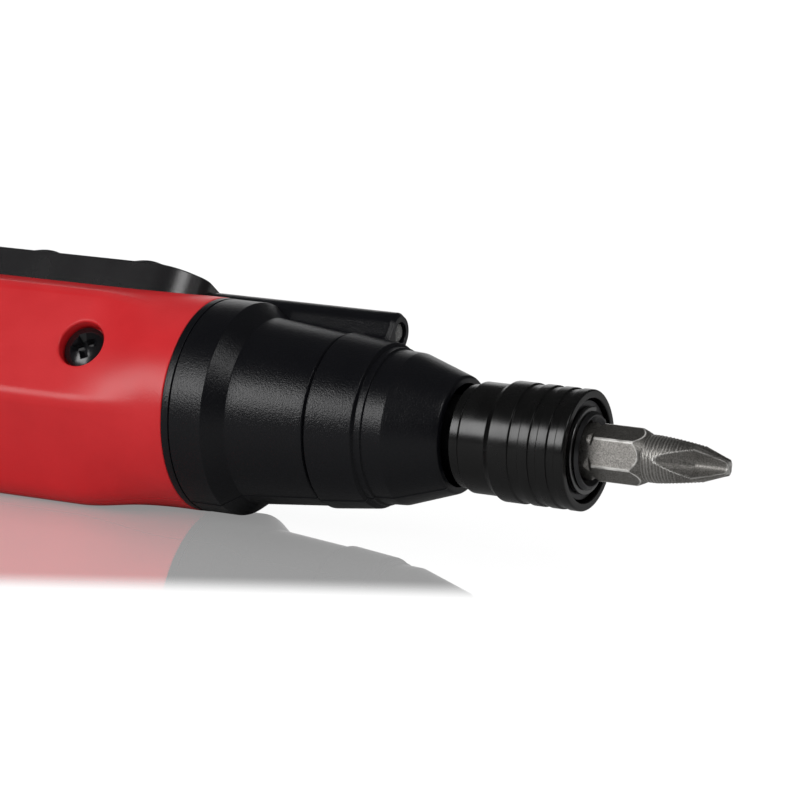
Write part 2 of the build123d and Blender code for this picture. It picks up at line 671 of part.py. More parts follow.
def direction_selector():
    """The forward and reverse slide behind the lever."""
    half = SELECTOR_LENGTH / 2
    cap_floor = TOP_HEIGHT + TOUCH_GAP / 2
    cap = block(
        SELECTOR_X - half, SELECTOR_X + half, SELECTOR_HALF_WIDTH, cap_floor, cap_floor + SELECTOR_CAP
    )
    cap = chamfer(cap.faces().sort_by(Axis.Z)[-1].edges(), SELECTOR_CAP / 3)
    base_top = HOUSING_TOP_INSIDE - TOUCH_GAP / 2
    neck = SELECTOR_NECK_LENGTH / 2
    cap += block(SELECTOR_X - neck, SELECTOR_X + neck, SELECTOR_NECK_HALF_WIDTH, base_top - 0.1, cap_floor + 0.1)
    base = SELECTOR_BASE_LENGTH / 2
    cap += block(
        SELECTOR_X - base,
        SELECTOR_X + base,
        SELECTOR_BASE_HALF_WIDTH,
        base_top - SELECTOR_BASE_THICKNESS,
        base_top,
    )
    return cap.solid()


def control_board():
    """The control board over the cell."""
    return block(
        BOARD_FRONT - BOARD_LENGTH, BOARD_FRONT, BOARD_HALF_WIDTH, BOARD_FLOOR, BOARD_FLOOR + BOARD_THICKNESS
    )


def battery_cell():
    """One round lithium cell with its button end forwards."""
    step = 1.0
    cell = cylinder(CELL_REAR, CELL_FRONT - step, CELL_RADIUS) + cylinder(CELL_REAR, CELL_FRONT, CELL_RADIUS / 2)
    return Pos(0, 0, -CELL_DROP) * cell.solid()


def battery_tabs():
    """The welded tabs on both ends of the cell."""
    tabs = []
    for x in (CELL_FRONT, CELL_REAR - TAB_THICKNESS):
        tab = block(x, x + TAB_THICKNESS, TAB_WIDTH / 2, -CELL_RADIUS / 2, CELL_RADIUS - 1)
        tabs.append(Pos(0, 0, -CELL_DROP) * tab)
    return tabs


# Nose and lamp
def nose_ring():
    """The thin ring between the housing and the nose."""
    ring = tube(SEAT_GAP, RING_WIDTH - SEAT_GAP, RING_RADIUS, GEAR_CASE_RADIUS + TOUCH_GAP)
    notch = LAMP_BAR_RADIUS + LEVER_GAP / 2
    return (ring - block(-1, RING_WIDTH + 1, notch, LAMP_TONGUE_FLOOR - SIDE_GAP, 2 * RING_RADIUS)).solid()


def nose_cone():
    """The black nose: stepped cone, lamp bar, gear pocket, bearing bore and mouth."""
    chamfer_x = NOSE_REAR + FLANGE_RELIEF
    cone = turned(
        (NOSE_REAR, 0),
        (NOSE_REAR, FLANGE_RADIUS - FLANGE_RELIEF),
        (chamfer_x, FLANGE_RADIUS),
        (FLANGE_X, FLANGE_RADIUS),
        (SHOULDER_X, NOSE_RADIUS),
        (BAND_X, NOSE_END_RADIUS),
        (BAND_X, BAND_RADIUS),
        (BAND_END_X, BAND_END_RADIUS),
        (BAND_END_X + GROOVE_LENGTH / 4, GROOVE_RADIUS),
        (NECK_X, GROOVE_RADIUS),
        (NECK_X, NECK_RADIUS),
        (NECK_END_X, NECK_END_RADIUS),
        (NOSE_FRONT - MOUTH_LIP, MOUTH_OUTER_RADIUS),
        (NOSE_FRONT, MOUTH_OUTER_RADIUS - MOUTH_LIP),
        (NOSE_FRONT, 0),
    )
    bar = Pos(0, 0, LAMP_HEIGHT) * cylinder(-LAMP_BAR_TONGUE, LAMP_BAR_END, LAMP_BAR_RADIUS)
    bar = chamfer(bar.faces().sort_by(Axis.X)[-1].edges(), LAMP_BAR_ROUND / 2)
    bar += block(-LAMP_BAR_TONGUE, NOSE_REAR + 1, LAMP_BAR_RADIUS, LAMP_TONGUE_FLOOR, LAMP_HEIGHT)
    bar -= block(-LAMP_BAR_TONGUE - 1, NOSE_REAR, 2 * LAMP_BAR_RADIUS, 0, LAMP_TONGUE_FLOOR)
    bar += block(NOSE_REAR, LAMP_BAR_END, LAMP_BAR_RADIUS, MOUTH_RADIUS, LAMP_HEIGHT)
    cone += bar
    cone -= cylinder(NOSE_REAR - 1, BEARING_X, GEAR_CASE_RADIUS + RUN_GAP)
    cone -= cylinder(NOSE_REAR - 1, BEARING_FRONT, BEARING_RADIUS + SEAT_GAP)
    cone -= cylinder(0, NOSE_FRONT + 1, MOUTH_RADIUS)
    led_rear = LAMP_BAR_END - LED_RECESS - LED_LENGTH - LED_BOARD_THICKNESS - TOUCH_GAP
    lamp_axis = Pos(0, 0, LAMP_HEIGHT)
    cone -= lamp_axis * cylinder(led_rear, LAMP_BAR_END + 1, LED_RADIUS + SEAT_GAP)
    cone -= lamp_axis * cylinder(-LAMP_BAR_TONGUE - 1, led_rear + 1, WIRE_RADIUS)
    return cone.solid()


def led_lens():
    """The lamp's clear round-ended lens."""
    front = LAMP_BAR_END - LED_RECESS
    barrel = cylinder(front - LED_LENGTH, front - LED_RADIUS, LED_RADIUS)
    lens = barrel + Pos(front - LED_RADIUS, 0, 0) * Sphere(LED_RADIUS)
    return Pos(0, 0, LAMP_HEIGHT) * lens.solid()


def led_board():
    """The lamp's base behind its lens."""
    front = LAMP_BAR_END - LED_RECESS - LED_LENGTH - TOUCH_GAP / 2
    return Pos(0, 0, LAMP_HEIGHT) * cylinder(front - LED_BOARD_THICKNESS, front, LED_RADIUS)


# Gears
def involute(angle):
    """The involute of an angle in radians."""
    return math.tan(angle) - angle


def gear_outline(teeth, tip, root, thickness, phase):
    """A gear's outline: one tooth centred at the phase angle, flanks by the involute's formula."""
    pressure = math.radians(PRESSURE_ANGLE)
    pitch = MODULE * teeth / 2
    base = pitch * math.cos(pressure)
    start = max(base, root)
    radii = [root] if root < base else []
    radii += [start + (tip - start) * step / FLANK_STEPS for step in range(FLANK_STEPS + 1)]
    points = []
    for tooth in range(teeth):
        centre = math.radians(phase) + 2 * math.pi * tooth / teeth
        flank = []
        for radius in radii:
            turn = involute(math.acos(base / max(radius, base)))
            flank.append((radius, thickness / (2 * pitch) + involute(pressure) - turn))
        side = [(radius, centre - half) for radius, half in flank]
        side += [(radius, centre + half) for radius, half in reversed(flank)]
        points += [(radius * math.cos(angle), radius * math.sin(angle)) for radius, angle in side]
    return make_face(Polyline(*points, close=True))


def gear(teeth, x_start, x_end, phase):
    """An external gear along the spindle's axis."""
    pitch = MODULE * teeth / 2
    thickness = math.pi * MODULE / 2 - TOOTH_THINNING
    outline = gear_outline(teeth, pitch + ADDENDUM * MODULE, pitch - DEDENDUM * MODULE, thickness, phase)
    return extrude(Plane.YZ.offset(x_start) * outline, amount=x_end - x_start)


def planet_phase(orbit_angle):
    """A planet's turn that sets it in mesh with a sun whose tooth stands at angle 0."""
    tooth = 360 / SUN_TEETH
    offset = round(orbit_angle / tooth) * tooth - orbit_angle
    return orbit_angle + 180 - offset * SUN_TEETH / PLANET_TEETH + 180 / PLANET_TEETH


def ring_phase():
    """The ring's turn that sets it in mesh with the first planet."""
    orbit_angle = PLANET_ANGLES[0]
    tooth = 360 / PLANET_TEETH
    offset = (planet_phase(orbit_angle) - orbit_angle + tooth / 2) % tooth - tooth / 2
    return orbit_angle + offset * PLANET_TEETH / RING_TEETH


def ring_gear():
    """The gear case with its inner teeth, shared by both stages."""
    thickness = math.pi * MODULE / 2 + TOOTH_THINNING
    tip = RING_PITCH + DEDENDUM * MODULE
    root = RING_PITCH - ADDENDUM * MODULE
    outline = gear_outline(RING_TEETH, tip, root, thickness, ring_phase())
    teeth = extrude(Plane.YZ.offset(GEAR_CASE_REAR - 1) * outline, amount=GEAR_CASE_FRONT - GEAR_CASE_REAR + 2)
    return (cylinder(GEAR_CASE_REAR, GEAR_CASE_FRONT, GEAR_CASE_RADIUS) - teeth).solid()


def planet(x_start, width, orbit_angle):
    """One planet gear on its place."""
    wheel = gear(PLANET_TEETH, x_start, x_start + width, planet_phase(orbit_angle))
    wheel -= cylinder(x_start - 1, x_start + width + 1, PLANET_PIN_RADIUS + RUN_GAP)
    return Pos(0, *polar(ORBIT, orbit_angle)) * wheel.solid()


def planet_pins(x_start, x_end):
    """The three pins of a carrier."""
    return [Pos(0, *polar(ORBIT, angle)) * cylinder(x_start, x_end, PLANET_PIN_RADIUS) for angle in PLANET_ANGLES]


def first_carrier():
    """The first carrier with its pins behind and the second sun in front."""
    front = CARRIER_1_X + CARRIER_THICKNESS
    carrier = cylinder(CARRIER_1_X, front, CARRIER_RADIUS)
    carrier += gear(SUN_TEETH, front - 0.1, CARRIER_2_X - STAGE_GAP, 0)
    for pin in planet_pins(PLANET_1_X - STAGE_GAP / 3, CARRIER_1_X + 0.1):
        carrier += pin
    return carrier.solid()


def gear_washer():
    """The washer between the gear case and the rear bearing."""
    rear = GEAR_CASE_FRONT + TOUCH_GAP / 2
    return tube(rear, rear + WASHER_THICKNESS, GEAR_CASE_RADIUS, WASHER_BORE)


# Motor
def motor_mount():
    """The block that joins the motor to the gear case and takes the front screws."""
    mount = cylinder(MOUNT_REAR, MOUNT_FRONT, GEAR_CASE_RADIUS)
    mount &= block(MOUNT_REAR, MOUNT_FRONT, MOUNT_HALF_WIDTH, -2 * GEAR_CASE_RADIUS, MOUNT_TOP)
    mount -= cylinder(MOUNT_REAR - 1, MOUNT_FRONT + 1, MOUNT_BORE)
    hole_end = SIDE_DISTANCE - SCREW_RECESS_DEPTH - SHORT_SCREW_LENGTH - TOUCH_GAP
    for side in (-1, 1):
        mount -= across(SCREW_X, SCREW_Z, side, SIDE_DISTANCE, hole_end, SCREW_RADIUS + SEAT_GAP)
    return mount.solid()


def motor_can():
    """The motor's drawn steel can, open at the rear."""
    can = cylinder(MOTOR_REAR, MOUNT_REAR - SEAT_GAP, MOTOR_RADIUS)
    can -= cylinder(MOTOR_REAR - 1, MOUNT_REAR - MOTOR_WALL - SEAT_GAP, MOTOR_RADIUS - MOTOR_WALL)
    return (can - cylinder(MOTOR_REAR, MOUNT_REAR + 1, BUSH_RADIUS + SEAT_GAP)).solid()


def motor_magnets():
    """The two curved magnets inside the can."""
    outer = MOTOR_RADIUS - MOTOR_WALL - SEAT_GAP
    ring = tube(MOTOR_MID - MAGNET_LENGTH / 2, MOTOR_MID + MAGNET_LENGTH / 2, outer, outer - MAGNET_THICKNESS)
    magnets = []
    reach = 2 * MOTOR_RADIUS
    for side in (0, 180):
        wedge = Polyline(
            (0, 0),
            polar(reach, side - MAGNET_HALF_ANGLE),
            polar(reach, side),
            polar(reach, side + MAGNET_HALF_ANGLE),
            close=True,
        )
        sector = extrude(Plane.YZ.offset(MOTOR_REAR) * make_face(wedge), amount=MOTOR_LENGTH)
        magnets.append((ring & sector).solid())
    return magnets


def motor_endbell():
    """The end bell with its bush seat and the two brush posts."""
    bell = cylinder(ENDBELL_REAR, MOTOR_REAR - SEAT_GAP, MOTOR_RADIUS)
    plug = MOTOR_RADIUS - MOTOR_WALL - RUN_GAP
    bell += tube(MOTOR_REAR - 0.1, MOTOR_REAR + 1, plug, plug - 1)
    for side in (-1, 1):
        y = side * (COMMUTATOR_RADIUS + BRUSH_LENGTH + 1)
        bell += Pos(MOTOR_REAR - 0.1, y, 0) * Box(
            COMMUTATOR_LENGTH, 2, 2 * BRUSH_WIDTH, align=(Align.MIN, Align.CENTER, Align.CENTER)
        )
    return (bell - cylinder(ENDBELL_REAR - 1, MOTOR_REAR + 1, BUSH_RADIUS + SEAT_GAP)).solid()


def motor_brushes():
    """Two carbon brushes beside the commutator."""
    brushes = []
    for side in (-1, 1):
        y = side * (COMMUTATOR_RADIUS + RUN_GAP + BRUSH_LENGTH / 2)
        seat = (Align.MIN, Align.CENTER, Align.CENTER)
        brush = Box(BRUSH_WIDTH, BRUSH_LENGTH - 2 * RUN_GAP, BRUSH_WIDTH, align=seat)
        brushes.append(Pos(MOTOR_REAR + SIDE_GAP, y, 0) * brush)
    return brushes


def motor_bushes():
    """The plain bearings in the can's front and in the end bell."""
    front = MOUNT_REAR + RUN_GAP - BUSH_LENGTH
    rear = ENDBELL_REAR
    return [
        tube(x, x + BUSH_LENGTH, BUSH_RADIUS, SHAFT_RADIUS + RUN_GAP).solid() for x in (front, rear)
    ]


def rotor_shaft():
    """The motor's shaft, from the end bell to the first sun."""
    return cylinder(ENDBELL_REAR - 0.5, CARRIER_1_X - STAGE_GAP, SHAFT_RADIUS)


def armature():
    """The slotted armature on the shaft."""
    half = ARMATURE_LENGTH / 2
    core = tube(MOTOR_MID - half, MOTOR_MID + half, ARMATURE_RADIUS, SHAFT_RADIUS + SEAT_GAP)
    for index in range(ARMATURE_SLOTS):
        slot = Box(2 * ARMATURE_LENGTH, ARMATURE_SLOT_DEPTH, ARMATURE_SLOT_WIDTH)
        turn = Rot(index * 360 / ARMATURE_SLOTS, 0, 0)
        core -= turn * Pos(MOTOR_MID, ARMATURE_RADIUS - ARMATURE_SLOT_DEPTH / 2 + 0.1, 0) * slot
    return core.solid()


def commutator():
    """The commutator behind the armature."""
    rear = MOTOR_REAR + SIDE_GAP
    return tube(rear, rear + COMMUTATOR_LENGTH, COMMUTATOR_RADIUS, SHAFT_RADIUS + SEAT_GAP).solid()


def motor_pinion():
    """The first sun gear on the motor's shaft."""
    pinion = gear(SUN_TEETH, PLANET_1_X - STAGE_GAP, CARRIER_1_X - STAGE_GAP, 0)
    return (pinion - cylinder(MOTOR_REAR, GEAR_CASE_FRONT, SHAFT_RADIUS + SEAT_GAP)).solid()


# Spindle, bearings and chuck
def hexagon(across_flats, x_start, x_end):
    """A hexagonal bar along the axis, one flat facing the bit's rest angle."""
    corner = across_flats / 2 / math.cos(math.radians(30))
    points = [polar(corner, BIT_ROLL + 30 + 60 * index) for index in range(6)]
    return extrude(Plane.YZ.offset(x_start) * make_face(Polyline(*points, close=True)), amount=x_end - x_start)


def clip_groove(x_start, width, depth):
    """The ring of material that a retaining ring's groove removes."""
    return tube(x_start, x_start + width, 2 * SPINDLE_RADIUS, SPINDLE_RADIUS - depth)


def ball_seat_radius():
    """How far a lock ball's centre stands from the axis at rest, on the sleeve's ramp."""
    return BIT_GROOVE_RADIUS + BALL_SEAT_GAP + BALL_RADIUS


def output_spindle():
    """The spindle: second carrier with its pins, bearing seat and hexagonal socket."""
    hub_front = BEARING_X - TOUCH_GAP / 2
    body = cylinder(CARRIER_2_X, CARRIER_2_X + CARRIER_THICKNESS, CARRIER_RADIUS)
    body += cylinder(CARRIER_2_X, hub_front, SPINDLE_SHOULDER)
    edge = 0.4
    body += turned(
        (CARRIER_2_X, 0),
        (CARRIER_2_X, SPINDLE_RADIUS),
        (SPINDLE_FRONT - edge, SPINDLE_RADIUS),
        (SPINDLE_FRONT, SPINDLE_RADIUS - edge),
        (SPINDLE_FRONT, 0),
    )
    for pin in planet_pins(PLANET_2_X - STAGE_GAP / 3, CARRIER_2_X + 0.1):
        body += pin
    body -= hexagon(HEX_SOCKET, SPINDLE_FRONT - SOCKET_DEPTH, SPINDLE_FRONT + 1)
    socket_corner = HEX_SOCKET / 2
    body -= turned(
        (SPINDLE_FRONT - SOCKET_CONE_LENGTH, 0),
        (SPINDLE_FRONT - SOCKET_CONE_LENGTH, socket_corner),
        (SPINDLE_FRONT, SOCKET_CONE_RADIUS),
        (SPINDLE_FRONT + 1, SOCKET_CONE_RADIUS),
        (SPINDLE_FRONT + 1, 0),
    )
    body -= clip_groove(BEARING_FRONT + TOUCH_GAP, CLIP_WIDTH + TOUCH_GAP, CLIP_DEPTH)
    body -= clip_groove(SNAP_RING_FRONT - SNAP_RING_WIDTH - TOUCH_GAP / 2, SNAP_RING_WIDTH + TOUCH_GAP, CLIP_DEPTH)
    hole = Cylinder(BALL_RADIUS + RUN_GAP, 4 * SPINDLE_RADIUS)
    body -= Pos(BALL_X, 0, 0) * Rot(BIT_ROLL - 90, 0, 0) * hole
    return body.solid()


def bearing_places():
    """Where each bearing starts."""
    return (BEARING_X, BEARING_2_X)


def race(x_start):
    """The ball track that is cut from both rings of a bearing."""
    pitch = (BEARING_BORE + BEARING_RADIUS) / 2
    return Pos(x_start + BEARING_WIDTH / 2, 0, 0) * Rot(0, 90, 0) * Torus(pitch, BEARING_BALL + RUN_GAP)


def bearing_outer_rings():
    """The outer rings, in the nose."""
    inner = BEARING_RADIUS - BEARING_RING
    return [(tube(x, x + BEARING_WIDTH, BEARING_RADIUS, inner) - race(x)).solid() for x in bearing_places()]


def bearing_inner_rings():
    """The inner rings, on the spindle."""
    outer = BEARING_BORE + BEARING_RING
    return [(tube(x, x + BEARING_WIDTH, outer, BEARING_BORE) - race(x)).solid() for x in bearing_places()]


def bearing_balls():
    """The balls of both bearings."""
    pitch = (BEARING_BORE + BEARING_RADIUS) / 2
    balls = []
    for x in bearing_places():
        for index in range(BEARING_BALLS):
            y, z = polar(pitch, index * 360 / BEARING_BALLS)
            balls.append(Pos(x + BEARING_WIDTH / 2, y, z) * Sphere(BEARING_BALL))
    return balls


def bearing_spacer():
    """The tube between the two outer rings."""
    outer = BEARING_RADIUS - SEAT_GAP
    gap = TOUCH_GAP / 2
    return tube(BEARING_X + BEARING_WIDTH + gap, BEARING_2_X - gap, outer, outer - SPACER_WALL)


def split_ring(x_start, width, outer, inner):
    """A retaining ring with a gap."""
    ring = tube(x_start, x_start + width, outer, inner)
    return (ring - block(x_start - 1, x_start + width + 1, CLIP_GAP_WIDTH / 2, 0, 2 * outer)).solid()


def bearing_circlip():
    """The circlip in front of the front bearing."""
    inner = SPINDLE_RADIUS - CLIP_DEPTH + SEAT_GAP
    return split_ring(BEARING_FRONT + 1.5 * TOUCH_GAP, CLIP_WIDTH, inner + CLIP_HEIGHT, inner)


def stop_ring():
    """The ring that the sleeve rests against."""
    ring = tube(STOP_RING_X, STOP_RING_X + STOP_RING_WIDTH, STOP_RING_RADIUS, SPINDLE_RADIUS + SEAT_GAP)
    return chamfer(ring.edges().filter_by(GeomType.CIRCLE).sort_by(SortBy.RADIUS)[-2:], 0.2).solid()


def chuck_sleeve():
    """The sliding sleeve with its grip grooves, ball ramp, land and spring bore."""
    land = SPINDLE_RADIUS + RUN_GAP
    ramp_end = BALL_X + RAMP_LEAD
    ramp_start = ramp_end - SLEEVE_TRAVEL - 2 * RAMP_LEAD
    pocket = land + BALL_RAMP * (ramp_end - ramp_start)
    rear_end = SLEEVE_REAR + SLEEVE_REAR_LENGTH
    edge = 0.2
    outside = [
        (SLEEVE_REAR, SLEEVE_REAR_RADIUS - edge),
        (SLEEVE_REAR + edge, SLEEVE_REAR_RADIUS),
        (rear_end, SLEEVE_REAR_RADIUS),
        (rear_end + SLEEVE_RAMP, SLEEVE_RADIUS),
    ]
    for start, end in SLEEVE_GROOVES:
        floor = SLEEVE_RADIUS - SLEEVE_GROOVE_DEPTH
        outside += [(start, SLEEVE_RADIUS), (start, floor), (end, floor), (end, SLEEVE_RADIUS)]
    outside += [
        (SLEEVE_FRONT - SLEEVE_LIP, SLEEVE_RADIUS),
        (SLEEVE_FRONT - SLEEVE_LIP / 3, SLEEVE_RADIUS - SLEEVE_LIP / 3),
        (SLEEVE_FRONT, SLEEVE_RADIUS - SLEEVE_LIP),
    ]
    inside = [
        (SLEEVE_FRONT, SLEEVE_BORE),
        (SLEEVE_LAND_END, SLEEVE_BORE),
        (SLEEVE_LAND_END, land),
        (ramp_end, land),
        (ramp_start, pocket),
        (SLEEVE_REAR + SLEEVE_REAR_LAND, pocket),
        (SLEEVE_REAR + SLEEVE_REAR_LAND, land),
        (SLEEVE_REAR, land),
    ]
    return turned(*outside, *inside).solid()


def sleeve_spring():
    """The spring between the sleeve's land and its washer."""
    gap = TOUCH_GAP / 2
    length = WASHER_X - SLEEVE_LAND_END - 2 * gap
    coil = spring(SLEEVE_SPRING_RADIUS, SLEEVE_SPRING_WIRE, SLEEVE_SPRING_TURNS, length)
    return Pos(SLEEVE_LAND_END + gap, 0, 0) * Rot(0, 90, 0) * coil


def spring_washer():
    """The washer in front of the sleeve's spring."""
    return tube(WASHER_X, WASHER_X + SPRING_WASHER_WIDTH, SPRING_WASHER_RADIUS, SPINDLE_RADIUS + RUN_GAP)


def snap_ring():
    """The snap ring at the spindle's nose."""
    inner = SPINDLE_RADIUS - CLIP_DEPTH + SEAT_GAP
    return split_ring(SNAP_RING_FRONT - SNAP_RING_WIDTH, SNAP_RING_WIDTH, SNAP_RING_RADIUS, inner)


def lock_ball(turn):
    """One of the two lock balls."""
    y, z = polar(ball_seat_radius(), BIT_ROLL + turn)
    return Pos(BALL_X, y, z) * Sphere(BALL_RADIUS)


def screwdriver_bit():
    """The bit: hexagonal shank with its groove, ribbed neck and fluted cross point."""
    rear = BIT_TIP - BIT_LENGTH
    corner = BIT_HEX / 2 / math.cos(math.radians(30)) + 0.1
    neck_x = BIT_HEX_END + BIT_CHAMFER_LENGTH
    point_x = BIT_TIP - BIT_POINT_LENGTH
    lead = 0.8
    outline = [
        (rear, 0),
        (rear, corner - lead),
        (rear + lead, corner),
        (BIT_HEX_END, corner),
        (neck_x, BIT_SHANK_RADIUS),
    ]
    rib = (point_x - neck_x) / BIT_RIBS
    for index in range(BIT_RIBS):
        share = index / BIT_RIBS
        crest = BIT_SHANK_RADIUS + (BIT_SHANK_END_RADIUS - BIT_SHANK_RADIUS) * share
        x = neck_x + index * rib
        outline += [(x + 0.25 * rib, crest - BIT_RIB_DEPTH), (x + 0.45 * rib, crest), (x + rib, crest)]
    outline += [(point_x, BIT_SHANK_END_RADIUS), (BIT_TIP - 0.25, BIT_POINT_RADIUS)]
    outline += [(BIT_TIP, BIT_POINT_RADIUS - 0.3), (BIT_TIP, 0)]
    shank = hexagon(BIT_HEX, rear - 1, neck_x) + cylinder(neck_x - 1, BIT_TIP + 1, BIT_SHANK_RADIUS)
    bit = turned(*outline) & shank
    groove_start = BALL_X - BIT_GROOVE_LENGTH / 2
    bit -= tube(groove_start, groove_start + BIT_GROOVE_LENGTH, BIT_HEX, BIT_GROOVE_RADIUS)
    run = BIT_TIP - neck_x
    drop = FLUTE_START_RADIUS - FLUTE_END_RADIUS
    slope = math.degrees(math.atan2(drop, run))
    reach = 3 * run
    cutter = Cylinder(FLUTE_RADIUS, reach, align=(Align.CENTER, Align.CENTER, Align.CENTER))
    flute = Pos(BIT_TIP, 0, FLUTE_END_RADIUS) * Rot(0, 90 + slope, 0) * Pos(-FLUTE_RADIUS, 0, 0) * cutter
    for index in range(4):
        bit -= Rot(BIT_ROLL - 90 + 90 * index, 0, 0) * flute
    return bit.solid()


WHOLE_HOUSING = housing()
PIECES = {
    "housing_right": housing_half(-1),
    "housing_left": housing_half(1),
    "case_screws": case_screws(),
    "tail_cap": tail_cap(),
    "tail_screws": tail_screws(),
    "charge_socket": charge_socket(),
    "charge_board": charge_board(),
    "switch_lever": switch_lever(),
    "lever_spring": lever_spring(),
    "switch_body": switch_body(),
    "switch_plunger": switch_plunger(),
    "direction_selector": direction_selector(),
    "control_board": control_board(),
    "battery_cell": battery_cell(),
    "battery_tabs": battery_tabs(),
    "nose_ring": nose_ring(),
    "nose_cone": nose_cone(),
    "led_lens": led_lens(),
    "led_board": led_board(),
    "ring_gear": ring_gear(),
    "first_carrier": first_carrier(),
    "gear_washer": gear_washer(),
    "motor_mount": motor_mount(),
    "motor_can": motor_can(),
    "motor_magnets": motor_magnets(),
    "motor_endbell": motor_endbell(),
    "motor_brushes": motor_brushes(),
    "motor_bushes": motor_bushes(),
    "rotor_shaft": rotor_shaft(),
    "armature": armature(),
    "commutator": commutator(),
    "motor_pinion": motor_pinion(),
    "output_spindle": output_spindle(),
    "bearing_outer_rings": bearing_outer_rings(),
    "bearing_inner_rings": bearing_inner_rings(),
    "bearing_balls": bearing_balls(),
    "bearing_spacer": bearing_spacer(),
    "bearing_circlip": bearing_circlip(),
    "stop_ring": stop_ring(),
    "chuck_sleeve": chuck_sleeve(),
    "sleeve_spring": sleeve_spring(),
    "spring_washer": spring_washer(),
    "snap_ring": snap_ring(),
    "lock_ball_1": lock_ball(0),
    "lock_ball_2": lock_ball(180),
    "screwdriver_bit": screwdriver_bit(),
}
for number, angle in enumerate(PLANET_ANGLES, start=1):
    PIECES[f"first_planet_{number}"] = planet(PLANET_1_X, PLANET_1_WIDTH, angle)
    PIECES[f"second_planet_{number}"] = planet(PLANET_2_X, PLANET_2_WIDTH, angle)

# Lay the tool on its left belly facet, with the origin under the middle of its box
LAY = Pos(0, 0, BELLY_DISTANCE) * Rot(-BELLY_TILT, 0, 0)
LAID = {}
for name, piece in PIECES.items():
    solids = piece if isinstance(piece, list) else [piece]
    LAID[name] = [LAY * part.solid() for part in solids]
everything = Compound(children=[solid for solids in LAID.values() for solid in solids])
box = everything.bounding_box()
CENTRE = Pos(-(box.min.X + box.max.X) / 2, -(box.min.Y + box.max.Y) / 2, 0)
os.makedirs("parts", exist_ok=True)
for name, solids in LAID.items():
    export_step(Compound(children=[CENTRE * solid for solid in solids]), f"parts/{name}.step")
print("laid box", [round(value, 4) for value in (*box.min, *box.max)])
print("lever pivot", [round(value, 5) for value in (CENTRE * LAY * Pos(PIVOT_X, 0, PIVOT_Z)).position])
print("spindle axis", [round(value, 5) for value in (CENTRE * LAY).position], "orbit", ORBIT)
print("lock ball centre", round(ball_seat_radius(), 4))
print("stations", SLEEVE_FRONT, NOSE_FRONT, PLANET_1_X, CARRIER_1_X)
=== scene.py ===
"""Looks of an inline cordless screwdriver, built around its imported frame.

Sizes are millimetres on the tool's own axes: X runs along the spindle towards the bit, Z points out of the
lever's face, and -Y is the near side. The plane x = 0 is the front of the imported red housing.
"""

import cmath
import json
import logging
import math
from dataclasses import dataclass
from enum import Enum
from typing import Any, Callable, Mapping, Sequence

import bmesh
import bpy
from mathutils import Euler, Matrix, Vector

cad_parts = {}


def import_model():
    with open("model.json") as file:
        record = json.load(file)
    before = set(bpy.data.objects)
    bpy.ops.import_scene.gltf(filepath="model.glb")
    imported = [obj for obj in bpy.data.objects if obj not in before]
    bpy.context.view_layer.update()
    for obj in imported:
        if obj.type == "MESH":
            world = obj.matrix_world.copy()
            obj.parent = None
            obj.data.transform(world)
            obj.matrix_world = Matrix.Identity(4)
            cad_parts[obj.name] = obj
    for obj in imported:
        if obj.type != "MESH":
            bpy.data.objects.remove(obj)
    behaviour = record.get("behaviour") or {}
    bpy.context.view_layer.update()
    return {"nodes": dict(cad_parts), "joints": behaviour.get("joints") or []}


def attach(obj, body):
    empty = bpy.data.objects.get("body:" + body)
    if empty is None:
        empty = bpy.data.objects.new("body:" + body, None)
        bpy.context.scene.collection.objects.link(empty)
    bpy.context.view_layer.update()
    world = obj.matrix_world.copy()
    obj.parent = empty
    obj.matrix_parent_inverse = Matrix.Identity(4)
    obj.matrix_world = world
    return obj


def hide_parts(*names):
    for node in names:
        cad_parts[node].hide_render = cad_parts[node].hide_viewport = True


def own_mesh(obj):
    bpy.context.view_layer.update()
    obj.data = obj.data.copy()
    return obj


MM = 0.001
MERGE = 1e-6
ROUNDING = 1e-9
QUARTER = math.pi / 2
LEVEL = Matrix.Identity(3)
WHITE = (1.0, 1.0, 1.0, 1.0)
NOISE_RANGE = (0.3, 0.7)
TRIM_SHARE = 0.49
OVERSHOOT = 1.0
SMALL_TURN = 32
COIL_STEPS = 40
WIRE_STEPS = 14
LOG = logging.getLogger("screwdriver")

Point = tuple[float, float, float]
Flat = tuple[float, float]
Outline = list[Flat]
Place = Callable[[float, float, float], Point]
Spot = tuple[Point, Matrix]


class Cut(Enum):
    """What a cutter does to a piece."""

    TAKE = "DIFFERENCE"
    ADD = "UNION"


class Side(Enum):
    """The two sides of the tool, as the sign of Y."""

    NEAR = -1
    FAR = 1


def smoothstep(low: float, high: float, value: float) -> float:
    """A smooth rise from 0 at low to 1 at high, read at a value."""
    share = min(1.0, max(0.0, (value - low) / (high - low)))
    return share * share * (3 - 2 * share)


def spread(start: float, end: float, step: float) -> list[float]:
    """Evenly spaced values from start to end, both included, at most a step apart."""
    count = max(1, math.ceil(abs(end - start) / step - ROUNDING))
    return [start + (end - start) * index / count for index in range(count + 1)]


def runs(*spans: Point) -> list[float]:
    """The values of several spans one after another, each given as (start, end, step)."""
    return [value for span in spans for value in spread(*span)]


def quarter(radius: float, step: float, first: float = 0.0) -> Outline:
    """A quarter round from a wall to a top, each point as (below the top, inside the wall)."""
    return [(radius * (1 - math.sin(t)), radius * (1 - math.cos(t))) for t in spread(first, QUARTER, step)]


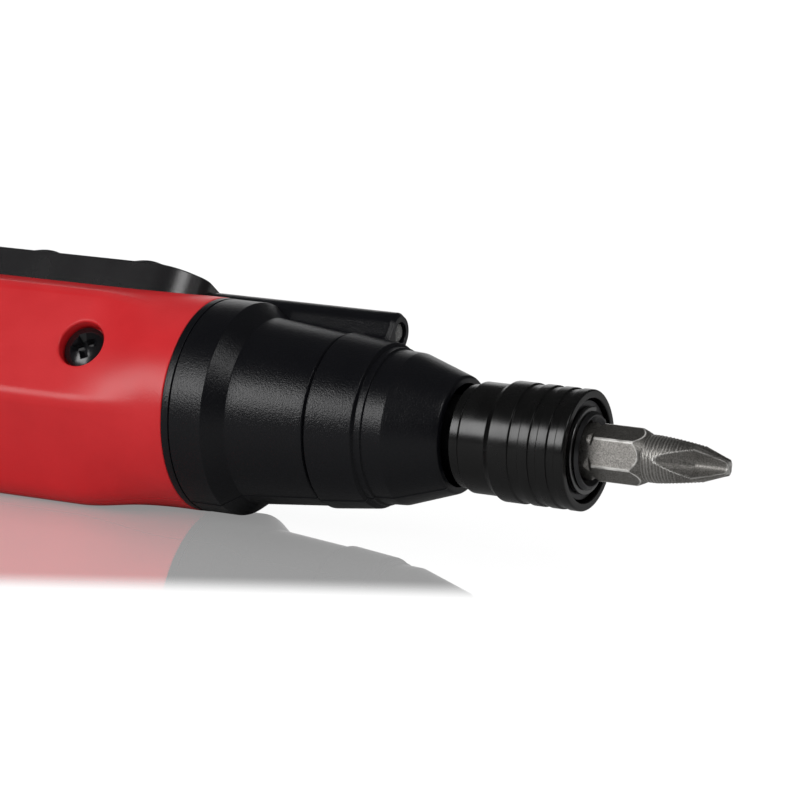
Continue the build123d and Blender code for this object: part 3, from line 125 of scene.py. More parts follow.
def rounded(corners: Sequence[Point], closed: bool = True, step: float = 12.0) -> Outline:
    """An outline with its corners rounded.

    Args:
        corners: Each corner as (u, v, radius).
        closed: Whether the last corner joins the first.
        step: Degrees between points on a round.

    Returns:
        The outline's points in order.
    """
    spots = [complex(u, v) for u, v, _ in corners]
    outline: Outline = []
    for index, (u, v, radius) in enumerate(corners):
        inner = closed or 0 < index < len(corners) - 1
        if radius <= 0 or not inner:
            outline.append((u, v))
            continue
        here = spots[index]
        back = spots[index - 1] - here
        ahead = spots[(index + 1) % len(spots)] - here
        swing = cmath.phase(-ahead / back)
        half = (math.pi - abs(swing)) / 2
        trim = min(radius / math.tan(half), TRIM_SHARE * abs(back), TRIM_SHARE * abs(ahead))
        start = here + back / abs(back) * trim
        toward = back / abs(back) + ahead / abs(ahead)
        centre = here + toward / abs(toward) * trim / math.cos(half)
        count = max(2, math.ceil(math.degrees(abs(swing)) / step))
        for number in range(count + 1):
            spot = centre + (start - centre) * cmath.exp(1j * swing * number / count)
            outline.append((spot.real, spot.imag))
    return outline


def box_outline(low: Flat, high: Flat, rounds: float | Sequence[float], step: float = 15.0) -> Outline:
    """A rectangle with round corners.

    Args:
        low: Its lowest corner.
        high: Its highest corner.
        rounds: The corners' radius, or one for each corner, anticlockwise from the lowest.
        step: Degrees between points on a round.

    Returns:
        The outline's points.
    """
    radii = (rounds,) * 4 if isinstance(rounds, float) else rounds
    corners = (low, (high[0], low[1]), high, (low[0], high[1]))
    return rounded([(u, v, radius) for (u, v), radius in zip(corners, radii)], step=step)


def ring_section(start: float, end: float, inner: float, outer: float, rounds: Sequence[float]) -> Outline:
    """A turned ring's section as (x, radius), with its corners' radii from the inner rear corner on."""
    return box_outline((start, inner), (end, outer), rounds, step=12.0)


def bearing(azimuth: float, elevation: float) -> Vector:
    """The direction turned from the near side by an azimuth and raised by an elevation, in degrees."""
    turn, rise = math.radians(azimuth), math.radians(elevation)
    return Vector((math.sin(turn) * math.cos(rise), -math.cos(turn) * math.cos(rise), math.sin(rise)))


def upright(u: float, v: float, w: float) -> Point:
    """An outline seen from above, drawn out along Z."""
    return u, v, w


def sideways(u: float, v: float, w: float) -> Point:
    """An outline seen from the side, drawn out along Y."""
    return u, w, v


class Draft:
    """A mesh in the making, as points and faces in the tool's millimetres."""

    def __init__(self) -> None:
        """Starts with nothing."""
        self.points: list[Point] = []
        self.faces: list[tuple[int, ...]] = []

    def sheet(self, rows: Sequence[Sequence[Point]], ringed: bool = True, looped: bool = False) -> "Draft":
        """Adds quads through rows of points.

        Args:
            rows: Rows of as many points each.
            ringed: Whether each row's last point joins its first.
            looped: Whether the last row joins the first.

        Returns:
            This draft.
        """
        base, width, height = len(self.points), len(rows[0]), len(rows)
        for row in rows:
            self.points.extend(row)
        for low in range(height if looped else height - 1):
            high = (low + 1) % height
            for left in range(width if ringed else width - 1):
                right = (left + 1) % width
                corners = ((low, left), (low, right), (high, right), (high, left))
                self.faces.append(tuple(base + row * width + column for row, column in corners))
        return self

    def lid(self, ring: Sequence[Point]) -> "Draft":
        """Adds one face across a ring of points.

        Args:
            ring: The points in order.

        Returns:
            This draft.
        """
        base = len(self.points)
        self.points.extend(ring)
        self.faces.append(tuple(range(base, base + len(ring))))
        return self

    def loft(self, rings: Sequence[Sequence[Point]]) -> "Draft":
        """Adds a closed solid through rings of points."""
        return self.sheet(rings).lid(rings[0]).lid(rings[-1])

    def prism(self, outline: Outline, low: float, high: float, place: Place = upright) -> "Draft":
        """Adds a solid that draws an outline out from low to high."""
        return self.loft([[place(u, v, w) for u, v in outline] for w in (low, high)])

    def turned(self, outline: Outline, place: Place, steps: int = SMALL_TURN) -> "Draft":
        """Adds a surface of revolution.

        Args:
            outline: Points as (distance along the axis, radius).
            place: Puts (across, across, along) on the tool's axes.
            steps: Points round the axis.

        Returns:
            This draft.
        """
        spokes = [cmath.exp(2j * math.pi * number / steps) for number in range(steps)]
        rows = [[place(radius * s.real, radius * s.imag, w) for s in spokes] for w, radius in outline]
        return self.sheet(rows)


@dataclass(frozen=True)
class ToolFrame:
    """Turns the tool's millimetres into the frame's metres."""

    origin: Vector
    across: Vector
    up: Vector

    @classmethod
    def from_joints(cls, joints: Sequence[Mapping[str, Any]]) -> "ToolFrame":
        """Finds the tool's axes from the spindle's and the plunger's joints.

        Args:
            joints: The frame's joints.

        Returns:
            The tool's frame.
        """
        by_name = {joint["name"]: joint for joint in joints}
        up = -Vector(by_name["plunger_push"]["axis"]).normalized()
        return cls(Vector(by_name["spindle_spin"]["pos_m"]), up.cross(Vector((1, 0, 0))), up)

    def point(self, x: float, y: float, z: float) -> Vector:
        """A point of the tool in the frame."""
        return self.origin + (Vector((x, 0, 0)) + self.across * y + self.up * z) * MM

    def back(self, place: Vector) -> Point:
        """A point of the frame on the tool's axes."""
        apart = (place - self.origin) / MM
        return apart.x, apart.dot(self.across), apart.dot(self.up)

    def turn(self, matrix: Matrix) -> Vector:
        """Euler angles in the frame for a turn given on the tool's axes."""
        axes = Matrix((Vector((1, 0, 0)), self.across, self.up)).transposed()
        return Vector((axes @ matrix.to_3x3()).to_euler())


class NodeSketch:
    """A node tree in the making."""

    def __init__(self, tree: bpy.types.NodeTree) -> None:
        """Takes over an empty tree."""
        self.tree = tree

    @classmethod
    def fresh(cls, owner: Any) -> "NodeSketch":
        """Starts the tree of a new material or world.

        Args:
            owner: The material or world.

        Returns:
            Its emptied tree.
        """
        owner.use_nodes = True
        owner.node_tree.nodes.clear()
        return cls(owner.node_tree)

    def add(self, kind: str, inputs: Mapping[Any, Any] | None = None, **settings: Any) -> bpy.types.Node:
        """Adds a node.

        Args:
            kind: The node's type.
            inputs: Values or sockets for its inputs, by name or number.
            settings: Its other properties.

        Returns:
            The node.
        """
        node = self.tree.nodes.new(kind)
        for name, value in settings.items():
            setattr(node, name, value)
        for key, value in (inputs or {}).items():
            socket = node.inputs[key]
            if isinstance(value, bpy.types.NodeSocket):
                self.tree.links.new(value, socket)
            else:
                socket.default_value = value
        return node

    def math(self, operation: str, first: Any, second: Any = 0.0) -> bpy.types.NodeSocket:
        """The result of a Math node."""
        return self.add("ShaderNodeMath", {0: first, 1: second}, operation=operation).outputs[0]

    def dot(self, first: Any, second: Any) -> bpy.types.NodeSocket:
        """The dot product of two directions."""
        node = self.add("ShaderNodeVectorMath", {0: first, 1: second}, operation="DOT_PRODUCT")
        return node.outputs["Value"]

    def span(self, value: Any, low: float, high: float, start: float = 0.0, end: float = 1.0) -> Any:
        """A value mapped smoothly from start..end to low..high."""
        inputs = {"Value": value, "From Min": start, "From Max": end, "To Min": low, "To Max": high}
        return self.add("ShaderNodeMapRange", inputs, interpolation_type="SMOOTHSTEP").outputs[0]

    def noise(self, spot: Any, size: float, detail: float = 2.0, roughness: float = 0.5) -> Any:
        """Noise with features of a size in millimetres."""
        inputs = {"Vector": spot, "Scale": 1 / (size * MM), "Detail": detail, "Roughness": roughness}
        return self.add("ShaderNodeTexNoise", inputs).outputs[0]

    def bump(self, height: Any, depth: float) -> bpy.types.NodeSocket:
        """The normal of a surface with a relief of a depth in millimetres."""
        inputs = {"Height": height, "Strength": 1.0, "Distance": depth * MM}
        return self.add("ShaderNodeBump", inputs).outputs[0]

    def ramp(self, value: Any, colours: Sequence[Point]) -> Any:
        """A colour that goes from the first to the last over the range of a noise."""
        node = self.add("ShaderNodeValToRGB", {0: value})
        for element, place, colour in zip(node.color_ramp.elements, NOISE_RANGE, colours):
            element.position = place
            element.color = (*colour, 1.0)
        return node.outputs[0]

    def blend(self, share: Any, first: Any, last: Sequence[float]) -> Any:
        """A colour that goes from a socket's to a fixed one as the share goes from 0 to 1."""
        node = self.add("ShaderNodeMix", {0: share, 6: first, 7: (*last, 1.0)}, data_type="RGBA")
        return node.outputs[2]

    def mix(self, share: Any, first: bpy.types.Node, last: bpy.types.Node) -> bpy.types.Node:
        """A shader that goes from one to another as the share goes from 0 to 1."""
        return self.add("ShaderNodeMixShader", {0: share, 1: first.outputs[0], 2: last.outputs[0]})

    def matte(self, grey: float) -> bpy.types.Node:
        """A plain diffuse grey."""
        return self.add("ShaderNodeBsdfDiffuse", {"Color": (grey,) * 3 + (1.0,)})


def stand(name: str, data: Any) -> bpy.types.Object:
    """Puts a new object with some data into the scene.

    Args:
        name: The object's name.
        data: Its mesh, lamp or camera.

    Returns:
        The object.
    """
    piece = bpy.data.objects.new(name, data)
    bpy.context.scene.collection.objects.link(piece)
    return piece


def bake(piece: bpy.types.Object) -> None:
    """Turns a piece's modifiers into plain mesh.

    Args:
        piece: The object, which keeps its name and loses its modifiers.
    """
    graph = bpy.context.evaluated_depsgraph_get()
    mesh = bpy.data.meshes.new_from_object(piece.evaluated_get(graph))
    piece.modifiers.clear()
    piece.data = mesh
    mesh.name = piece.name


class Recipe:
    """A Geometry Nodes tree with named inputs, which ends in realized, dressed geometry."""

    def __init__(self, name: str, inputs: Mapping[str, str]) -> None:
        """Starts the tree.

        Args:
            name: The tree's name.
            inputs: The kind of socket for each named input.
        """
        self.tree = bpy.data.node_groups.new(name, "GeometryNodeTree")
        face = self.tree.interface
        face.new_socket("Geometry", in_out="INPUT", socket_type="NodeSocketGeometry")
        self.keys = {
            label: face.new_socket(label, in_out="INPUT", socket_type=f"NodeSocket{kind}").identifier
            for label, kind in {**inputs, "Finish": "Material"}.items()
        }
        face.new_socket("Geometry", in_out="OUTPUT", socket_type="NodeSocketGeometry")
        self.sketch = NodeSketch(self.tree)
        self.given = self.sketch.add("NodeGroupInput").outputs

    def close(self, geometry: bpy.types.NodeSocket) -> None:
        """Realizes the geometry, dresses it and leads it out."""
        real = self.sketch.add("GeometryNodeRealizeInstances", {"Geometry": geometry}).outputs[0]
        inputs = {"Geometry": real, "Material": self.given["Finish"]}
        dressed = self.sketch.add("GeometryNodeSetMaterial", inputs).outputs[0]
        self.sketch.add("NodeGroupOutput", {0: dressed})

    def make(self, name: str, seed: bpy.types.Mesh, values: Mapping[str, Any]) -> bpy.types.Object:
        """Runs the tree on a mesh and keeps the result as a plain mesh.

        Args:
            name: The new piece's name.
            seed: The mesh that the tree starts from.
            values: A value for each named input.

        Returns:
            The piece.
        """
        piece = stand(name, seed)
        modifier = piece.modifiers.new("recipe", "NODES")
        modifier.node_group = self.tree
        for label, value in values.items():
            modifier[self.keys[label]] = value
        bake(piece)
        return piece


def lathe_recipe() -> Recipe:
    """Nodes that turn a closed outline of points (along, radius) round an axis along X.

    Returns:
        The recipe.
    """
    recipe = Recipe("lathe", {"Outline Points": "Int", "Turn Steps": "Int", "Axis Point": "Vector"})
    sketch, given = recipe.sketch, recipe.given
    columns = sketch.math("ADD", given["Outline Points"], 1.0)
    rows = sketch.math("ADD", given["Turn Steps"], 1.0)
    grid = sketch.add("GeometryNodeMeshGrid", {"Vertices X": rows, "Vertices Y": columns}).outputs[0]
    index = sketch.add("GeometryNodeInputIndex").outputs[0]
    row = sketch.math("FLOOR", sketch.math("DIVIDE", sketch.math("ADD", index, 0.5), columns))
    column = sketch.math("SUBTRACT", index, sketch.math("MULTIPLY", row, columns))
    pick = sketch.math("MODULO", column, given["Outline Points"])
    places = sketch.add("GeometryNodeInputPosition").outputs[0]
    taken = {"Geometry": given["Geometry"], "Value": places, "Index": pick}
    sample = sketch.add("GeometryNodeSampleIndex", taken, data_type="FLOAT_VECTOR", domain="POINT")
    spot = sketch.add("ShaderNodeSeparateXYZ", {0: sample.outputs[0]}).outputs
    angle = sketch.math("MULTIPLY", row, sketch.math("DIVIDE", math.tau, given["Turn Steps"]))
    across = sketch.math("MULTIPLY", spot[1], sketch.math("COSINE", angle))
    up = sketch.math("MULTIPLY", spot[1], sketch.math("SINE", angle))
    turned = sketch.add("ShaderNodeCombineXYZ", {0: spot[0], 1: across, 2: up}).outputs[0]
    shift = {0: turned, 1: given["Axis Point"]}
    place = sketch.add("ShaderNodeVectorMath", shift, operation="ADD").outputs[0]
    moved = sketch.add("GeometryNodeSetPosition", {"Geometry": grid, "Position": place}).outputs[0]
    merged = {"Geometry": moved, "Distance": MERGE}
    recipe.close(sketch.add("GeometryNodeMergeByDistance", merged).outputs[0])
    return recipe


def coil_recipe() -> Recipe:
    """Nodes that wind a wire into a spring.

    Returns:
        The recipe.
    """
    kinds = {label: "Float" for label in ("Turns", "Radius", "Wire", "Height")}
    recipe = Recipe("coil", {**kinds, "Place": "Vector", "Turn": "Vector"})
    sketch, given = recipe.sketch, recipe.given
    spiral = {"Resolution": COIL_STEPS, "Rotations": given["Turns"], "Start Radius": given["Radius"]}
    spiral |= {"End Radius": given["Radius"], "Height": given["Height"]}
    line = sketch.add("GeometryNodeCurveSpiral", spiral).outputs[0]
    wire = {"Resolution": WIRE_STEPS, "Radius": sketch.math("MULTIPLY", given["Wire"], 0.5)}
    section = sketch.add("GeometryNodeCurvePrimitiveCircle", wire).outputs[0]
    swept = {"Curve": line, "Profile Curve": section, "Fill Caps": True}
    mesh = sketch.add("GeometryNodeCurveToMesh", swept).outputs[0]
    turn = sketch.add("FunctionNodeEulerToRotation", {0: given["Turn"]}).outputs[0]
    placed = {"Geometry": mesh, "Translation": given["Place"], "Rotation": turn}
    recipe.close(sketch.add("GeometryNodeTransform", placed).outputs[0])
    return recipe


def scatter_recipe() -> Recipe:
    """Nodes that put a copy of a pattern on each point, turned by the point's own angles.

    Returns:
        The recipe.
    """
    recipe = Recipe("scatter", {"Pattern": "Object"})
    sketch, given = recipe.sketch, recipe.given
    pattern = sketch.add("GeometryNodeObjectInfo", {"Object": given["Pattern"]}).outputs["Geometry"]
    angles = sketch.add("GeometryNodeInputNamedAttribute", {"Name": "turn"}, data_type="FLOAT_VECTOR")
    turn = sketch.add("FunctionNodeEulerToRotation", {0: angles.outputs[0]}).outputs[0]
    inputs = {"Points": given["Geometry"], "Instance": pattern, "Rotation": turn}
    recipe.close(sketch.add("GeometryNodeInstanceOnPoints", inputs).outputs[0])
    return recipe


@dataclass(frozen=True)
class Finish:
    """A surface finish: linear colour and gloss."""

    name: str
    colour: Point
    roughness: float

    def material(self) -> bpy.types.Material:
        """The finish as a material, made once.

        Returns:
            The material.
        """
        found = bpy.data.materials.get(self.name)
        if found:
            return found
        material = bpy.data.materials.new(self.name)
        sketch = NodeSketch.fresh(material)
        spot = sketch.add("ShaderNodeTexCoord").outputs["Object"]
        surface = sketch.add("ShaderNodeBsdfPrincipled", self.surface(sketch, spot))
        sketch.add("ShaderNodeOutputMaterial", {"Surface": surface.outputs[0]})
        return material

    def tints(self, low: float, high: float) -> list[Point]:
        """A darker and a lighter shade of the colour."""
        return [tuple(min(1.0, part * share) for part in self.colour) for share in (low, high)]

    def swing(self, sketch: NodeSketch, patch: Any, low: float, high: float) -> Any:
        """The roughness, a little less or more by the patches of a noise."""
        return sketch.span(patch, low * self.roughness, high * self.roughness, *NOISE_RANGE)

    def surface(self, sketch: NodeSketch, spot: Any) -> dict[str, Any]:
        """The inputs of the finish's shader."""
        raise NotImplementedError


@dataclass(frozen=True)
class MouldedPlastic(Finish):
    """Plastic from a spark-eroded mould: fine grain, and patches a little glossier than the rest."""

    grain: float = 0.14
    depth: float = 0.006
    patch: float = 7.0
    mottle: float = 0.05
    gloss: float = 0.5
    coarse: float = 3.3
    coarse_share: float = 0.3
    gloss_swing: Flat = (0.92, 1.08)

    def surface(self, sketch: NodeSketch, spot: Any) -> dict[str, Any]:
        """The inputs of the plastic's shader."""
        patch = sketch.noise(spot, self.patch, 3.0)
        fine = sketch.noise(spot, self.grain, 2.0, 0.6)
        coarse = sketch.noise(spot, self.coarse * self.grain, 1.0)
        height = sketch.math("ADD", fine, sketch.math("MULTIPLY", coarse, self.coarse_share))
        return {
            "Base Color": sketch.ramp(patch, self.tints(1 - self.mottle, 1 + self.mottle)),
            "Roughness": self.swing(sketch, patch, *self.gloss_swing),
            "Normal": sketch.bump(height, self.depth),
            "Specular IOR Level": self.gloss,
        }


@dataclass(frozen=True)
class TurnedMetal(Finish):
    """Metal with fine lines round the spindle's axis, bare or under a thin black coat."""

    metallic: float = 1.0
    line: float = 0.05
    depth: float = 0.0008
    patch: float = 4.0
    stretch: float = 0.02
    gloss: float = 0.5
    shades: Flat = (0.86, 1.12)
    gloss_swing: Flat = (0.88, 1.14)

    def surface(self, sketch: NodeSketch, spot: Any) -> dict[str, Any]:
        """The inputs of the metal's shader."""
        scale = {"Vector": spot, "Scale": (1.0, self.stretch, self.stretch)}
        lines = sketch.noise(sketch.add("ShaderNodeMapping", scale).outputs[0], self.line)
        patch = sketch.noise(spot, self.patch, 4.0)
        return {
            "Base Color": sketch.ramp(patch, self.tints(*self.shades)),
            "Roughness": self.swing(sketch, patch, *self.gloss_swing),
            "Normal": sketch.bump(lines, self.depth),
            "Metallic": self.metallic,
            "Specular IOR Level": self.gloss,
        }


@dataclass(frozen=True)
class SteelWithWearAndHighlight(Finish):
    """Phosphated tool steel: grainy grey, made bright where the mesh's wear-and-highlight attribute is high:
    wear at the tip and on the rib crests, and a painted highlight mixed with wear along the edges.
    """

    bright: Point = (0.84, 0.83, 0.8)
    bright_roughness: float = 0.32
    bright_metallic: float = 0.45
    grain: float = 0.12
    depth: float = 0.004
    patch: float = 8.0
    patch_range: Flat = (0.3, 0.6)
    least_wear_and_highlight: float = 0.45
    shades: Flat = (0.55, 1.45)

    def surface(self, sketch: NodeSketch, spot: Any) -> dict[str, Any]:
        """The inputs of the steel's shader."""
        wear = sketch.add("ShaderNodeAttribute", attribute_name="wear").outputs["Fac"]
        fine = sketch.noise(spot, self.grain, 3.0, 0.65)
        cloud = sketch.noise(spot, self.patch * self.grain)
        patch = sketch.span(cloud, self.least_wear_and_highlight, 1.0, *self.patch_range)
        # the mask mixes wear with a painted highlight along the bit's edges
        wear_and_highlight_mask = sketch.math("MULTIPLY", wear, patch)
        dull = sketch.ramp(fine, self.tints(*self.shades))
        return {
            "Base Color": sketch.blend(wear_and_highlight_mask, dull, self.bright),
            "Roughness": sketch.span(wear_and_highlight_mask, self.roughness, self.bright_roughness),
            "Normal": sketch.bump(fine, self.depth),
            "Metallic": sketch.span(wear_and_highlight_mask, 1.0, self.bright_metallic),
        }


@dataclass(frozen=True)
class ClearPlastic(Finish):
    """Clear cast resin with a faint ripple."""

    ripple: float = 0.45
    depth: float = 0.16
    clearness: float = 0.88
    refraction: float = 1.5

    def surface(self, sketch: NodeSketch, spot: Any) -> dict[str, Any]:
        """The inputs of the resin's shader."""
        return {
            "Base Color": (*self.colour, 1.0),
            "Roughness": self.roughness,
            "Normal": sketch.bump(sketch.noise(spot, self.ripple), self.depth),
            "Transmission Weight": self.clearness,
            "IOR": self.refraction,
        }


RED = MouldedPlastic("red_satin_plastic", (0.55, 0.0128, 0.0172), 0.34, grain=0.26, depth=0.014, gloss=0.38)
NOSE_BLACK = MouldedPlastic(
    "black_grained_plastic", (0.0026, 0.0028, 0.0042), 0.3, grain=0.22, depth=0.036, gloss=0.32)
LEVER_BLACK = MouldedPlastic(
    "black_satin_plastic", (0.01, 0.01, 0.011), 0.27, grain=0.3, depth=0.008, gloss=0.74)
PART_BLACK = MouldedPlastic("black_inner_plastic", (0.014, 0.014, 0.015), 0.5)
PART_GREY = MouldedPlastic("grey_inner_plastic", (0.21, 0.22, 0.23), 0.45)
SLEEVE_BLACK = TurnedMetal(
    "black_coated_steel", (0.0026,) * 3, 0.25, metallic=0.0, line=0.16, depth=0.012, gloss=0.43)
SCREW_BLACK = TurnedMetal(
    "black_oxide_steel", (0.006, 0.006, 0.007), 0.17, metallic=0.0, stretch=0.6, line=0.2)
RING_STEEL = TurnedMetal("worn_ring_steel", (0.2, 0.2, 0.2), 0.3)
DARK_STEEL = TurnedMetal("dark_turned_steel", (0.075, 0.075, 0.078), 0.33)
BRIGHT_STEEL = TurnedMetal("bright_turned_steel", (0.55, 0.55, 0.56), 0.24)
BALL_STEEL = TurnedMetal("polished_ball_steel", (0.7, 0.7, 0.71), 0.1, stretch=1.0, depth=0.0003)
SPRING_STEEL = TurnedMetal("drawn_spring_wire", (0.42, 0.42, 0.43), 0.28, stretch=0.8, line=0.1)
BRONZE = TurnedMetal("sintered_bronze", (0.5, 0.31, 0.15), 0.42, stretch=1.0, line=0.12, depth=0.004)
COPPER = TurnedMetal("copper_bars", (0.82, 0.42, 0.27), 0.28)
SINTERED = TurnedMetal("sintered_gear_steel", (0.3, 0.3, 0.31), 0.4, stretch=1.0, line=0.12, depth=0.003)
FERRITE = MouldedPlastic("ferrite", (0.045, 0.043, 0.043), 0.62, grain=0.08)
CARBON = MouldedPlastic("carbon_brush", (0.03, 0.03, 0.031), 0.5, grain=0.1)
BOARD = MouldedPlastic("green_board", (0.016, 0.15, 0.052), 0.33, patch=2.2, mottle=0.22, depth=0.003)
WRAP = MouldedPlastic("blue_cell_wrap", (0.02, 0.11, 0.32), 0.24, grain=0.5, depth=0.004)
LENS = ClearPlastic("clear_lamp_lens", (0.9, 0.9, 0.88), 0.08)
# its bright edges are a painted highlight mixed with wear
BIT_STEEL = SteelWithWearAndHighlight("phosphated_bit_steel", (0.265, 0.255, 0.24), 0.44, grain=0.2, depth=0.016)


class Workshop:
    """Makes meshes at the tool's place and hands finished pieces to the frame."""

    def __init__(self, tool: ToolFrame) -> None:
        """Keeps the tool's frame and builds the shared node trees."""
        self.tool = tool
        self.lathe = lathe_recipe()
        self.coil = coil_recipe()
        self.scatter = scatter_recipe()

    def tidy(self, mesh: bpy.types.Mesh) -> None:
        """Merges doubles and turns a mesh's faces outwards."""
        work = bmesh.new()
        work.from_mesh(mesh)
        bmesh.ops.remove_doubles(work, verts=work.verts, dist=MERGE)
        bmesh.ops.dissolve_degenerate(work, edges=work.edges, dist=MERGE / 10)
        bmesh.ops.recalc_face_normals(work, faces=work.faces)
        work.to_mesh(mesh)
        work.free()

    def raise_mesh(self, name: str, draft: Draft, placed: bool = True) -> bpy.types.Object:
        """Makes an object from a draft.

        Args:
            name: The object's name.
            draft: Its points and faces.
            placed: Whether to put it at the tool's place, or leave it about the origin.

        Returns:
            The object.
        """
        spots = [self.tool.point(*point) if placed else Vector(point) * MM for point in draft.points]
        mesh = bpy.data.meshes.new(name)
        mesh.from_pydata(spots, [], draft.faces)
        self.tidy(mesh)
        return stand(name, mesh)

    def combine(self, piece: bpy.types.Object, draft: Draft, cut: Cut = Cut.TAKE,
                placed: bool = True) -> None:
        """Cuts a solid out of a piece, or joins it on.

        Args:
            piece: The piece that changes.
            draft: The other solid.
            cut: Whether it is taken away or added.
            placed: Whether the draft lies at the tool's place.
        """
        cutter = self.raise_mesh("cutter", draft, placed)
        modifier = piece.modifiers.new("cut", "BOOLEAN")
        modifier.operation = cut.value
        modifier.solver = "MANIFOLD"
        modifier.object = cutter
        bake(piece)
        bpy.data.objects.remove(cutter)

    def turn_on_axis(self, name: str, outline: Outline, finish: Finish, height: float = 0.0,
                     steps: int = 160) -> bpy.types.Object:
        """Turns a closed outline round an axis along X.

        Args:
            name: The piece's name.
            outline: Points as (x, radius).
            finish: Its finish.
            height: The axis's height over the spindle's axis.
            steps: Points round the axis.

        Returns:
            The piece.
        """
        seed = bpy.data.meshes.new(name)
        seed.from_pydata([(x * MM, radius * MM, 0) for x, radius in outline], [], [])
        axis = self.tool.point(0, 0, height)
        values = {"Outline Points": len(outline), "Turn Steps": steps, "Axis Point": axis}
        return self.lathe.make(name, seed, {**values, "Finish": finish.material()})

    def wind(self, name: str, start: Point, turn: Matrix, sizes: tuple[float, float, float, float]) -> Any:
        """Winds a spring.

        Args:
            name: The piece's name.
            start: The middle of its first end.
            turn: Turns its axis from Z, on the tool's axes.
            sizes: Its radius, wire, turns and height.

        Returns:
            The piece.
        """
        radius, wire, turns, height = sizes
        values = {"Turns": turns, "Radius": radius * MM, "Wire": wire * MM, "Height": height * MM}
        values |= {"Place": self.tool.point(*start), "Turn": self.tool.turn(turn)}
        return self.coil.make(name, bpy.data.meshes.new(name), {**values, "Finish": SPRING_STEEL.material()})

    def press(self, spring: bpy.types.Object, fixed: Point, moving: Point) -> None:
        """Gives a spring a mesh of its own; the places of its ends are worked out, but nothing makes the
        spring shorten as a joint moves.

        Args:
            spring: The spring.
            fixed: The middle of the end that stays.
            moving: The middle of the end that moves.
        """
        anchor = self.tool.point(*fixed)
        span = self.tool.point(*moving) - anchor
        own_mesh(spring)

    def repeat(self, name: str, pattern: bpy.types.Object, spots: Sequence[Spot], finish: Finish) -> Any:
        """Puts copies of a pattern at several spots, then drops the pattern.

        Args:
            name: The piece's name.
            pattern: The object that is repeated.
            spots: Each copy's place and turn, on the tool's axes.
            finish: The copies' finish.

        Returns:
            The piece.
        """
        seed = bpy.data.meshes.new(name)
        seed.from_pydata([self.tool.point(*place) for place, _ in spots], [], [])
        turns = seed.attributes.new("turn", "FLOAT_VECTOR", "POINT")
        for entry, (_, matrix) in zip(turns.data, spots):
            entry.vector = self.tool.turn(matrix)
        piece = self.scatter.make(name, seed, {"Pattern": pattern, "Finish": finish.material()})
        bpy.data.objects.remove(pattern)
        return piece

    def settle(self, piece: bpy.types.Object, finish: Finish, body: str,
               nodes: Sequence[str] = (), sharp: float = 32.0) -> None:
        """Finishes a piece's mesh, dresses it and puts it on its body.

        Args:
            piece: The piece.
            finish: Its finish.
            body: The body that it rides on.
            nodes: The nodes that it stands for.
            sharp: Degrees from which an edge stays crisp.
        """
        self.tidy(piece.data)
        piece.data.shade_smooth()
        piece.data.set_sharp_from_angle(angle=math.radians(sharp))
        weighted = piece.modifiers.new("weighted", "WEIGHTED_NORMAL")
        weighted.keep_sharp = True
        bake(piece)
        piece.data.materials.clear()
        piece.data.materials.append(finish.material())
        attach(piece, body)
        if nodes:
            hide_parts(*nodes)
        LOG.info("%s: %d faces on %s", piece.name, len(piece.data.polygons), body)


